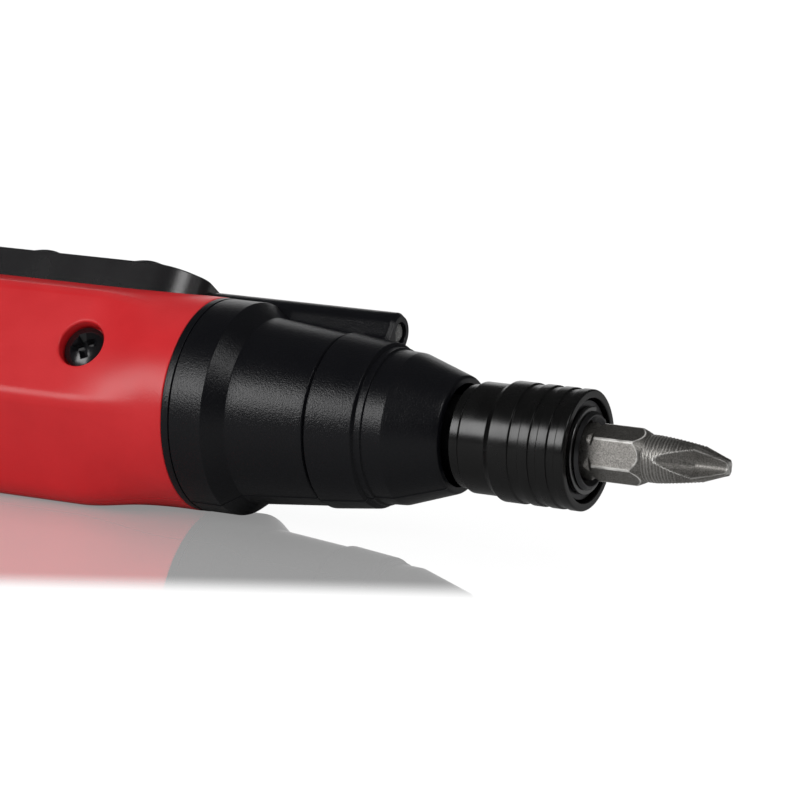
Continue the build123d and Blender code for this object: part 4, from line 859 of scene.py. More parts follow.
@dataclass
class SwitchLever:
    """The long black lever: a hollow paddle with a rounded prow and grip ribs."""

    half_width: float = 7.0
    top: float = 16.1
    bottom: float = 10.6
    front: float = -4.4
    rear: float = -78.0
    wall: float = 1.4
    rear_round: float = 3.0
    prow_length: float = 3.9
    prow_taper: float = 3.77
    prow_round: float = 2.6
    shoulder_round: float = 8.0
    least_round: float = 0.2
    edge_round: float = 0.25
    foot_edge: float = 0.12
    gap: float = 0.35
    arc_step: float = 0.07
    point_step: float = 1.6
    deck_steps: int = 8
    gear_clearance: float = 11.5
    gear_reach: float = -10.0
    rib_start: float = -12.3
    rib_pitch: float = 15.7
    rib_count: int = 4
    rib_height: float = 0.5
    rib_radius: float = 6.0
    rib_half_width: float = 6.7
    rib_end: float = 0.45
    rib_end_share: float = 0.02
    rib_foot: float = 0.25
    rib_step: float = 0.2
    pivot: Flat = (-12.0, 9.8)
    trunnion_radius: float = 0.9
    trunnion_length: float = 1.6
    spring_x: float = -64.9
    spring_seat: float = 4.05
    spring_gap: float = 0.05
    spring_radius: float = 2.3
    spring_wire: float = 0.5
    spring_turns: float = 6.0
    spring_travel: float = 2.2

    @property
    def roof(self) -> float:
        """The height of the hollow's roof."""
        return self.top - self.wall

    def half_plan(self, grow: float = 0.0) -> list[tuple[complex, complex]]:
        """Half of the outline seen from above, from the prow's tip to the rear.

        Args:
            grow: How far the outline is grown.

        Returns:
            Points x + iy with y above 0, each with its inward direction.
        """
        half, front, rear = self.half_width + grow, self.front + grow, self.rear - grow
        slant = math.atan2(self.prow_taper, self.prow_length)
        lean, level = math.sin(slant), math.cos(slant)
        reach = lean * self.front + level * (self.half_width - self.prow_taper) + grow
        sizes = (self.prow_round, self.shoulder_round, self.rear_round)
        prow, shoulder, corner = (max(self.least_round, size + grow) for size in sizes)
        prow_y = (reach - prow - lean * (front - prow)) / level
        shoulder_x = (reach - shoulder - level * (half - shoulder)) / lean
        rounds = (
            (complex(front - prow, prow_y), prow, 0.0, QUARTER - slant),
            (complex(shoulder_x, half - shoulder), shoulder, QUARTER - slant, QUARTER),
            (complex(rear + corner, half - corner), corner, QUARTER, math.pi),
        )
        plan = [(complex(front, 0.0), complex(-1.0, 0.0))]
        for centre, radius, first, last in rounds:
            spokes = [cmath.exp(1j * angle) for angle in spread(first, last, self.arc_step)]
            start, facing = plan[-1]
            straight = centre + radius * spokes[0] - start
            count = math.ceil(abs(straight) / self.point_step)
            plan += [(start + straight * (number / count), facing) for number in range(1, count)]
            plan += [(centre + radius * spoke, -spoke) for spoke in spokes]
        return plan

    def plan(self, grow: float) -> Outline:
        """The whole outline seen from above, grown all round."""
        far = [(spot.real, spot.imag) for spot, _ in self.half_plan(grow)]
        return far + [(x, -y) for x, y in reversed(far[1:])]

    def ring(self, inset: float, height: Callable[[float, float], float]) -> list[Point]:
        """One ring round the lever.

        Args:
            inset: How far the ring is drawn in.
            height: The ring's height at each point.

        Returns:
            The ring's points, first the far side and then the near side.
        """
        drawn = [spot + inward * inset for spot, inward in self.half_plan()]
        far = [(spot.real, max(0.0, spot.imag)) for spot in drawn]
        return [(x, y, height(x, y)) for x, y in far + [(x, -y) for x, y in reversed(far[1:])]]

    def deck(self, ring: Sequence[Point]) -> list[list[Point]]:
        """Rows across the lever, one between each pair of points of a ring's two sides."""
        shares = [1 - 2 * step / self.deck_steps for step in range(self.deck_steps + 1)]
        return [[(x, y * share, z) for share in shares] for x, y, z in ring[:(len(ring) + 1) // 2]]

    def floor(self, x: float, y: float) -> float:
        """The lower edge's height, raised over the gear case."""
        if x < self.gear_reach:
            return self.bottom
        return max(self.bottom, math.sqrt(self.gear_clearance**2 - y * y))

    def paddle(self) -> Draft:
        """The paddle's skin and hollow.

        Returns:
            The draft.
        """
        rings = [self.ring(self.wall, lambda x, y: self.roof), self.ring(self.wall, self.floor)]
        rings.append(self.ring(self.foot_edge, self.floor))
        rings.append(self.ring(0.0, lambda x, y: self.floor(x, y) + self.foot_edge))
        for drop, inset in quarter(self.edge_round, QUARTER / 4):
            rings.append(self.ring(inset, lambda x, y: self.top - drop))
        draft = Draft().sheet(rings)
        for ring in (rings[0], rings[-1]):
            draft.sheet(self.deck(ring), ringed=False)
        return draft

    def rib_pattern(self) -> Draft:
        """One grip rib about the origin: a low crest across the lever, faded out at its ends.

        Returns:
            A closed draft with its foot a little below z = 0.
        """
        reach = math.sqrt(self.rib_radius**2 - (self.rib_radius - self.rib_height) ** 2)
        ends = [self.rib_half_width - drop for drop, _ in quarter(self.rib_end, 0.26)]
        rows = []
        for v in [-end for end in reversed(ends)] + ends:
            into = max(0.0, abs(v) - self.rib_half_width + self.rib_end) / self.rib_end
            share = self.rib_end_share + (1 - self.rib_end_share) * math.sqrt(max(0.0, 1 - into * into))
            crest = []
            for u in spread(-reach, reach, self.rib_step):
                rise = math.sqrt(self.rib_radius**2 - u * u) - self.rib_radius + self.rib_height
                crest.append((u, v, rise * share))
            rows.append(crest + [(reach, v, -self.rib_foot), (-reach, v, -self.rib_foot)])
        return Draft().loft(rows)

    def build(self, shop: Workshop) -> None:
        """Makes the lever, its ribs and its spring."""
        lever = shop.raise_mesh("lever_paddle", self.paddle())
        shop.settle(lever, LEVER_BLACK, "lever", ["switch_lever"])
        places = [self.rib_start - number * self.rib_pitch for number in range(self.rib_count)]
        spots = [((x, 0, self.top), LEVEL) for x in places]
        pattern = shop.raise_mesh("rib_pattern", self.rib_pattern(), placed=False)
        ribs = shop.repeat("lever_grip_ribs", pattern, spots, LEVER_BLACK)
        shop.settle(ribs, LEVER_BLACK, "lever")
        x, seat, top = self.spring_x, self.spring_seat, self.roof - self.spring_gap
        sizes = (self.spring_radius, self.spring_wire, self.spring_turns, top - seat - self.spring_wire)
        spring = shop.wind("lever_return_spring", (x, 0, seat + self.spring_wire / 2), LEVEL, sizes)
        shop.settle(spring, SPRING_STEEL, "body", ["lever_spring"])
        shop.press(spring, (x, 0, seat), (x, 0, top))


class Section:
    """A convex cross-section, read as a radius at each angle from straight down round the near side."""

    def __init__(self, outline: Sequence[Flat]) -> None:
        """Keeps the outline's points, given as (towards the near side, up), sorted by angle."""
        self.spots = sorted((math.atan2(near, -up), near, up) for near, up in outline)
        first, last = self.spots[0], self.spots[-1]
        self.spots.insert(0, (last[0] - math.tau, last[1], last[2]))
        self.spots.append((first[0] + math.tau, first[1], first[2]))

    def radius(self, angle: float) -> float:
        """The distance from the axis to the outline.

        Args:
            angle: The direction, in radians from straight down.

        Returns:
            The radius there.
        """
        high = next(index for index, spot in enumerate(self.spots) if spot[0] > angle)
        (_, near, up), (_, next_near, next_up) = self.spots[high - 1], self.spots[high]
        ray = (math.sin(angle), -math.cos(angle))
        across = ray[0] * (next_up - up) - ray[1] * (next_near - near)
        share = -(ray[0] * up - ray[1] * near) / across
        return math.hypot(near + share * (next_near - near), up + share * (next_up - up))


@dataclass
class RedHousing:
    """The two red housing halves: a faceted grip that runs into a round collar."""

    side: float = 13.4
    belly: float = 14.0
    belly_tilt: float = 35.0
    shoulder: float = 13.9
    shoulder_tilt: float = 30.0
    top: float = 12.0
    keel_round: float = 4.5
    crease_round: float = 2.5
    shoulder_round: float = 2.0
    brow_round: float = 0.8
    least_round: float = 0.3
    wall: float = 1.8
    length: float = 138.0
    front: float = 0.75
    collar_radius: float = 13.99
    blend_start: float = -15.0
    blend_end: float = -1.2
    front_round: float = 0.18
    front_step: float = 0.4
    seam: float = 0.13
    bore: float = 11.3
    bore_start: float = -19.4
    bore_edge: float = 0.02
    angle_step: float = 2.6
    grip_step: float = 6.0
    blend_step: float = 0.3
    collar_step: float = 0.6
    collar_start: float = 0.5
    slot_floor: float = 7.4
    recess_radius: float = 3.2
    recess_depth: float = 2.0
    recess_lip: float = 0.3
    recess_round: float = 0.2
    recess_steps: int = 72
    tongue_half_width: float = 2.8
    tongue_floor: float = 11.25
    pin_gap: Flat = (0.1, 0.05)
    selector_slot: Point = (-92.0, 4.8, 2.3)
    selector_round: float = 0.6

    def outline(self, inset: float = 0.0) -> Outline:
        """The cross-section, drawn in by an inset, as (towards the near side, up).

        Args:
            inset: How far the faces are drawn in.

        Returns:
            The outline's points.
        """
        right = [(self.belly_tilt, self.belly), (90.0, self.side), (180 - self.shoulder_tilt, self.shoulder)]
        left = [(360 - tilt, reach) for tilt, reach in reversed(right)]
        faces = right + [(180.0, self.top)] + left
        rounds = (self.crease_round, self.shoulder_round, self.brow_round)
        corners = []
        for index, round_off in enumerate(rounds + rounds[::-1] + (self.keel_round,)):
            (tilt, reach), (next_tilt, next_reach) = faces[index], faces[(index + 1) % len(faces)]
            a, b = math.radians(tilt), math.radians(next_tilt)
            reach, next_reach = reach - inset, next_reach - inset
            scale = math.sin(b - a)
            near = (math.cos(a) * next_reach - math.cos(b) * reach) / scale
            up = (math.sin(a) * next_reach - math.sin(b) * reach) / scale
            corners.append((near, up, max(self.least_round, round_off - inset)))
        return rounded(corners, step=6.0)

    def angles(self) -> list[float]:
        """Angles for the points of one half's ring, from the keel to the top.

        Returns:
            Radians from straight down, close together on the rounds.
        """
        found = {round(math.atan2(near, -up), 6) for near, up in self.outline()}
        marks = sorted({0.0, math.pi} | {angle for angle in found if 0 <= angle <= math.pi})
        filled = []
        for first, last in zip(marks, marks[1:]):
            filled += spread(first, last, math.radians(self.angle_step))[:-1]
        return filled + [math.pi]

    def skin(self, radius: float, x: float) -> float:
        """The outside's radius at x, where the grip's own radius goes over into the round collar's."""
        return radius + (self.collar_radius - radius) * smoothstep(self.blend_start, self.blend_end, x)

    def stations(self) -> Outline:
        """Places along the housing, each with how far its ring is drawn in.

        Returns:
            Pairs of (x, inset) from the rear to the front edge.
        """
        rear = self.seam - self.length
        flush = [rear] + runs((rear + self.grip_step, self.bore_start - self.bore_edge, self.grip_step))
        flush += [self.bore_start] + runs(
            (self.blend_start, self.blend_end, self.blend_step),
            (self.blend_end + self.collar_start, self.front - self.front_round, self.collar_step),
        )
        edge = quarter(self.front_round, self.front_step, self.front_step)
        placed = [(-self.length, self.seam)] + [(x, 0.0) for x in flush]
        return placed + [(self.front - drop, inset) for drop, inset in edge]

    def shell(self, side: Side) -> Draft:
        """One half's closed shell, before its openings are cut.

        Args:
            side: Which half.

        Returns:
            The draft.
        """
        section, hollow = Section(self.outline()), Section(self.outline(self.wall))
        angles = self.angles()
        grip = [section.radius(angle) for angle in angles]
        inside = [hollow.radius(angle) for angle in angles]
        rows = []
        for x, inset in self.stations():
            row = [(self.skin(radius, x) - inset, angle) for angle, radius in zip(angles, grip)]
            for end in (0, -1):
                row[end] = (row[end][0] - self.seam, row[end][1])
            offset = math.asin(self.seam / row[0][0])
            row.insert(1, (row[1][0], offset))
            row.insert(-1, (row[-2][0], math.pi - offset))
            bored = x >= self.bore_start
            row += [(self.bore if bored else r, angle) for angle, r in reversed(list(zip(angles, inside)))]
            rows.append([(x, side.value * r * math.sin(a), -r * math.cos(a)) for r, a in row])
        return Draft().loft(rows)

    def recess(self, x: float, z: float, side: Side) -> Draft:
        """The cutter for a screw's recess, with a rounded lip.

        Args:
            x: The screw's place along the tool.
            z: The screw's height.
            side: The side that the screw enters.

        Returns:
            The cutter.
        """
        lip, radius, floor = self.recess_lip, self.recess_radius, self.side - self.recess_depth
        profile = [(self.side + OVERSHOOT, 0.0), (self.side + OVERSHOOT, radius + lip)]
        profile += [(self.side - inset, radius + drop) for drop, inset in quarter(lip, 0.25)]
        well = [(self.side - lip, radius, 0), (floor, radius, self.recess_round), (floor, 0, 0)]
        profile += rounded(well, closed=False)[1:]
        return Draft().turned(profile, lambda u, v, w: (x + u, side.value * w, z + v), self.recess_steps)

    def openings(self, lever: SwitchLever) -> list[Draft]:
        """The cutters that open both halves.

        Args:
            lever: The lever that the housing makes room for.

        Returns:
            The cutters for the lever, the lamp bar's tongue, the trunnions and the selector.
        """
        x, z = lever.pivot
        end_gap, side_gap = self.pin_gap
        reach, radius = lever.half_width + lever.trunnion_length + end_gap, lever.trunnion_radius + side_gap
        socket = [(-reach, 0.0), (-reach, radius), (reach, radius), (reach, 0.0)]
        wide = self.tongue_half_width
        notch = box_outline((lever.front - OVERSHOOT, -wide), (self.front + OVERSHOOT, wide), 0.0)
        middle, long_half, wide_half = self.selector_slot
        low, high = (middle - long_half, -wide_half), (middle + long_half, wide_half)
        window = box_outline(low, high, self.selector_round)
        over = 2 * self.top
        return [
            Draft().prism(lever.plan(lever.gap), self.slot_floor, over),
            Draft().prism(notch, self.tongue_floor, over),
            Draft().turned(socket, lambda u, v, w: (x + u, w, z + v)),
            Draft().prism(window, self.slot_floor, over),
        ]

    def build(self, shop: Workshop, lever: SwitchLever, screws: "Screws") -> None:
        """Makes both halves and cuts their openings."""
        for side, name, node in ((Side.NEAR, "red_shell_right", "housing_right"),
                                 (Side.FAR, "red_shell_left", "housing_left")):
            half = shop.raise_mesh(name, self.shell(side))
            places = [(x, z) for x, z, entered, _ in screws.case_places() if entered is side]
            for cutter in self.openings(lever) + [self.recess(x, z, side) for x, z in places]:
                shop.combine(half, cutter)
            shop.settle(half, RED, "body", [node], sharp=40.0)


@dataclass
class Screws:
    """Black pan-head screws with cross recesses: three in the housing and two in the tail."""

    head_radius: float = 2.88
    head_height: float = 1.5
    head_edge: float = 0.12
    dome: float = 0.7
    dome_span: Point = (0.04, 0.99, 0.06)
    shank_radius: float = 0.78
    steps: int = 36
    thread: float = 0.22
    thread_half: float = 0.3
    thread_steps: int = 6
    thread_end: Flat = (-0.7, -0.2)
    pitch: float = 0.9
    point_share: float = 0.25
    point_length: float = 1.2
    short: float = 5.4
    long: float = 18.0
    tail_length: float = 9.5
    tail_head: float = 2.0
    front: Flat = (-13.4, 0.6)
    rear: Flat = (-64.9, -3.5)
    seat: float = 11.42
    tail_seat: float = -144.12
    tail_y: float = 8.6
    cross_depth: float = 1.15
    cross_span: float = 4.3
    cross_width: float = 1.25
    cross_floor: Flat = (0.5, 0.55)
    cross_over: float = 0.4
    cross_round: float = 0.12
    cross_turn: float = 24.0

    def case_places(self) -> list[tuple[float, float, Side, float]]:
        """Each case screw as (x, z, side, length)."""
        return [(*self.front, side, self.short) for side in Side] + [(*self.rear, Side.NEAR, self.long)]

    def shaft(self, length: float, head: float) -> Draft:
        """One screw about the origin, without its cross.

        Args:
            length: The shank's length.
            head: The head's radius.

        Returns:
            The draft, its seat at z = 0 and its head upwards.
        """
        tall = self.head_height
        edge = [(0, self.shank_radius, 0), (0, head, self.head_edge), (tall - self.dome, head, 0)]
        crown = rounded(edge, closed=False, step=9.0)
        for share in spread(*self.dome_span):
            crown.append((tall - self.dome * (1 - share) ** 2, head * (1 - share)))
        spokes = [cmath.rect(1.0, math.tau * number / self.steps) for number in range(self.steps)]
        rows = []
        for w in spread(-length, 0.0, self.pitch / self.thread_steps):
            taper = min(1.0, self.point_share + (w + length) / self.point_length)
            fade = 1 - smoothstep(*self.thread_end, w)
            ring = []
            for number, spoke in enumerate(spokes):
                phase = (w / self.pitch - number / self.steps) % 1.0
                crest = max(0.0, 1 - abs(phase - 0.5) / self.thread_half) * self.thread
                spot = (self.shank_radius + crest * fade) * taper * spoke
                ring.append((spot.real, spot.imag, w))
            rows.append(ring)
        for w, radius in crown[1:]:
            rows.append([(radius * spoke.real, radius * spoke.imag, w) for spoke in spokes])
        return Draft().loft(rows)

    def pattern(self, shop: Workshop, length: float, head: float) -> bpy.types.Object:
        """One screw about the origin, with its cross cut.

        Args:
            shop: Makes the mesh.
            length: The shank's length.
            head: The head's radius.

        Returns:
            The pattern.
        """
        screw = shop.raise_mesh("screw_pattern", self.shaft(length, head), placed=False)
        tall, scale = self.head_height, head / self.head_radius
        levels = ((-self.cross_depth, *self.cross_floor), (0.0, 1.0, 1.0), (self.cross_over, 1.0, 1.0))
        for turn in (self.cross_turn, self.cross_turn + 90):
            spin = cmath.exp(1j * math.radians(turn))
            rings = []
            for rise, span_share, width_share in levels:
                u, v = span_share * self.cross_span / 2, width_share * self.cross_width / 2
                box = box_outline((-u, -v), (u, v), self.cross_round)
                arm = [complex(*spot) * spin * scale for spot in box]
                rings.append([(spot.real, spot.imag, tall + rise) for spot in arm])
            shop.combine(screw, Draft().loft(rings), placed=False)
        return screw

    def build(self, shop: Workshop) -> None:
        """Makes the screws of each length with one recipe."""
        case: dict[float, list[Spot]] = {self.short: [], self.long: []}
        for x, z, side, length in self.case_places():
            turn = Euler((math.radians(-90 * side.value), 0, 0)).to_matrix()
            case[length].append(((x, side.value * self.seat, z), turn))
        back = Euler((0, math.radians(-90), 0)).to_matrix()
        tail = [((self.tail_seat, side.value * self.tail_y, 0), back) for side in Side]
        for name, length, head, spots, nodes in (
            ("case_screws_short", self.short, self.head_radius, case[self.short], ["case_screws"]),
            ("case_screw_long", self.long, self.head_radius, case[self.long], []),
            ("tail_cap_screws", self.tail_length, self.tail_head, tail, ["tail_screws"]),
        ):
            piece = shop.repeat(name, self.pattern(shop, length, head), spots, SCREW_BLACK)
            shop.settle(piece, SCREW_BLACK, "body", nodes)


@dataclass
class Nose:
    """The black nose: thin rear ring, stepped cone, lamp bar along the top, and the lamp."""

    ring_front: float = 1.78
    ring_rear: float = 0.77
    ring_radius: float = 13.95
    ring_bore: float = 11.3
    ring_rounds: tuple[float, ...] = (0, 0, 0.1, 0.1)
    ring_steps: int = 200
    rear: float = 1.8
    rear_edge: float = 0.14
    flange: float = 13.9
    flange_end: float = 6.5
    shoulder_end: Flat = (9.0, 12.1)
    waist_end: Flat = (20.15, 11.05)
    waist_lip: Flat = (0.55, 0.04)
    line: Flat = (0.3, 0.02)
    line_depth: float = 0.32
    band: float = 11.35
    band_start: float = 0.06
    band_end: Flat = (26.4, 10.65)
    groove: float = 10.15
    groove_walls: Flat = (0.22, 0.1)
    groove_end: float = 27.6
    neck: float = 9.9
    neck_end: Flat = (30.2, 9.75)
    front: float = 37.1
    mouth_outer: float = 7.5
    mouth: float = 6.65
    mouth_edge: Flat = (0.001, 0.25)
    gear_pocket: Flat = (7.8, 11.25)
    bearing_bore: Flat = (25.2, 9.52)
    lamp_height: float = 13.0
    lamp_radius: float = 2.63
    lamp_end: float = 23.8
    lamp_chamfer: float = 0.62
    lamp_slope: float = 0.7
    lamp_fillet: float = 0.45
    lamp_cut: Flat = (0.004, 0.3)
    tongue_rear: float = -3.9
    tongue_edge: float = 0.15
    tongue_bite: float = 0.25
    tongue_floor: float = 11.55
    tongue_steps: int = 24
    notch_gap: Flat = (0.175, 0.3)
    notch_top: float = 20.0
    led_radius: float = 1.35
    led_gap: float = 0.02
    led_recess: float = 0.12
    led_crown: float = 0.5
    led_length: float = 3.3
    led_pole: float = 0.01
    led_step: float = 0.13
    led_steps: int = 48
    well: float = 18.3
    well_flare: Point = (0.16, 0.2, 0.3)
    well_steps: int = 64
    parting: float = 0.11
    parting_width: float = 0.2

    def profile(self) -> Outline:
        """The cone's outline from its rear face to its mouth.

        Returns:
            Points as (x, radius), with x never falling back.
        """
        (shoulder_x, shoulder), (waist_x, waist) = self.shoulder_end, self.waist_end
        (lip_x, lip), (line_x, line_end) = self.waist_lip, self.line
        line = waist - self.line_depth
        groove_x = self.band_end[0] + self.groove_walls[0]
        corners = [
            (self.rear, self.flange - self.rear_edge, 0),
            (self.rear + self.rear_edge, self.flange, 0.1),
            (self.flange_end, self.flange, 0.35),
            (shoulder_x, shoulder, 0.5),
            (waist_x - lip_x, waist + lip, 0.12),
            (waist_x - line_x, line, 0.08),
            (waist_x - line_end, line, 0.05),
            (waist_x + self.band_start, self.band, 0.12),
            (*self.band_end, 0.2),
            (groove_x, self.groove, 0.1),
            (self.groove_end - self.groove_walls[1], self.groove, 0.08),
            (self.groove_end, self.neck, 0.05),
            (*self.neck_end, 0.7),
            (self.front, self.mouth_outer, 0.5),
            (self.front + self.mouth_edge[0], self.mouth, 0),
        ]
        return rounded(corners, closed=False, step=14.0)

    def angles(self) -> list[float]:
        """Angles round the cone from the top, close together on the lamp bar and on the parting line.

        Returns:
            Radians, all round.
        """
        bar = math.degrees(math.atan2(self.lamp_radius, self.lamp_height))
        half = runs((0, bar - 4.6, 1.0), (bar - 4.4, bar + 4.4, 0.2), (bar + 5, 60, 2.0),
                    (62.5, 176, 2.5), (177, 179.8, 0.2))
        whole = half + [180.0] + [360 - value for value in reversed(half[1:])]
        return [math.radians(value) for value in whole]

    def bar(self, x: float, angle: float) -> float:
        """The lamp bar's reach from the spindle's axis, in one direction.

        Args:
            x: The place along the bar.
            angle: The direction from straight up, in radians.

        Returns:
            The reach, or 0 past the bar's end.
        """
        if x > self.lamp_end or math.cos(angle) <= 0:
            return 0.0
        radius = self.lamp_radius - self.lamp_slope * max(0.0, x - (self.lamp_end - self.lamp_chamfer))
        across = abs(math.sin(angle))
        if across * self.lamp_height < radius * math.cos(angle):
            fall = math.sqrt(radius**2 - (self.lamp_height * across) ** 2)
            return self.lamp_height * math.cos(angle) + fall
        return radius / across

    def reach(self, x: float, radius: float, angle: float) -> float:
        """The nose's surface: cone, lamp bar with a fillet between them, and the parting line.

        Args:
            x: The place along the nose.
            radius: The cone's radius there.
            angle: The direction from straight up, in radians.

        Returns:
            The distance from the spindle's axis.
        """
        bar = self.bar(x, angle)
        soft = max(0.0, self.lamp_fillet - abs(bar - radius)) if bar else 0.0
        joined = max(bar, radius) + soft * soft / (4 * self.lamp_fillet)
        off = abs(math.pi - angle) * radius
        return joined + self.parting * max(0.0, 1 - off / self.parting_width)

    def stations(self) -> Outline:
        """The profile with more places along the waist, the lamp bar's end and the front cone.

        Returns:
            Points as (x, radius).
        """
        extra = spread(self.lamp_end - self.lamp_chamfer, self.lamp_end, 0.2)
        extra += [self.lamp_end + step for step in self.lamp_cut]
        extra += runs((9.0, 20.0, 1.0), (31.0, 36.0, 0.6))
        placed = self.profile()
        for x in extra:
            after = next(index for index, spot in enumerate(placed) if spot[0] > x)
            (x0, r0), (x1, r1) = placed[after - 1], placed[after]
            placed.insert(after, (x, r0 + (r1 - r0) * (x - x0) / (x1 - x0)))
        return placed

    def cone(self) -> Draft:
        """The cone's closed shell with its bores.

        Returns:
            The draft.
        """
        angles = self.angles()
        bearing_x, bore = self.bearing_bore
        pocket_x, pocket = self.gear_pocket
        inside = [(self.front - self.mouth_edge[1], self.mouth), (bearing_x, self.mouth), (bearing_x, bore)]
        inside += [(pocket_x, bore), (pocket_x, pocket), (self.rear, pocket)]
        rows = [(x, [self.reach(x, radius, angle) for angle in angles]) for x, radius in self.stations()]
        rows += [(x, [radius] * len(angles)) for x, radius in inside]
        return Draft().sheet([[(x, r * math.sin(a), r * math.cos(a)) for r, a in zip(reaches, angles)]
                              for x, reaches in rows], looped=True)

    def tongue(self) -> Draft:
        """The lamp bar's tongue, which reaches back over the housing's collar.

        Returns:
            The draft.
        """
        edge = self.tongue_edge
        turns = spread(0, math.pi, math.pi / self.tongue_steps)
        rows = []
        start, end = self.tongue_rear, self.rear + self.tongue_bite
        for x, inset in ((start, edge), (start + edge, 0.0), (end, 0.0)):
            radius, floor = self.lamp_radius - inset, self.tongue_floor + inset
            arch = [(x, radius * math.cos(t), self.lamp_height + radius * math.sin(t)) for t in turns]
            rows.append([(x, radius, floor)] + arch + [(x, -radius, floor)])
        return Draft().loft(rows)

    def lens(self) -> Outline:
        """The lamp's round-ended lens as a closed outline about its axis.

        Returns:
            Points as (x, radius).
        """
        tip = self.lamp_end - self.led_recess
        dome = [(tip - self.led_crown * (1 - math.cos(t)), max(self.led_pole, self.led_radius * math.sin(t)))
                for t in spread(0, QUARTER, self.led_step)]
        return dome + [(tip - self.led_length, radius) for radius in (self.led_radius, self.led_pole)]

    def build(self, shop: Workshop) -> None:
        """Makes the ring, the cone with its bar, and the lamp."""
        rear, front = self.ring_rear, self.ring_front
        section = ring_section(rear, front, self.ring_bore, self.ring_radius, self.ring_rounds)
        ring = shop.turn_on_axis("nose_rear_ring", section, NOSE_BLACK, steps=self.ring_steps)
        side_gap, floor_gap = self.notch_gap
        half = self.lamp_radius + side_gap
        notch = box_outline((rear - OVERSHOOT, -half), (front + OVERSHOOT, half), 0.0)
        shop.combine(ring, Draft().prism(notch, self.tongue_floor - floor_gap, self.notch_top))
        shop.settle(ring, NOSE_BLACK, "body", ["nose_ring"])
        cone = shop.raise_mesh("nose_cone_shell", self.cone())
        shop.combine(cone, self.tongue(), Cut.ADD)
        bore, (inside, outside, flare) = self.led_radius + self.led_gap, self.well_flare
        mouth = self.lamp_end + outside
        well = [(self.well, 0.0), (self.well, bore), (self.lamp_end - inside, bore)]
        well += [(mouth, self.led_radius + flare), (mouth, 0.0)]
        shop.combine(cone, Draft().turned(
            well, lambda u, v, w: (w, u, self.lamp_height + v), self.well_steps))
        shop.settle(cone, NOSE_BLACK, "body", ["nose_cone"], sharp=38.0)
        lens = shop.turn_on_axis("lamp_lens", self.lens(), LENS, self.lamp_height, self.led_steps)
        shop.settle(lens, LENS, "body", ["led_lens"])


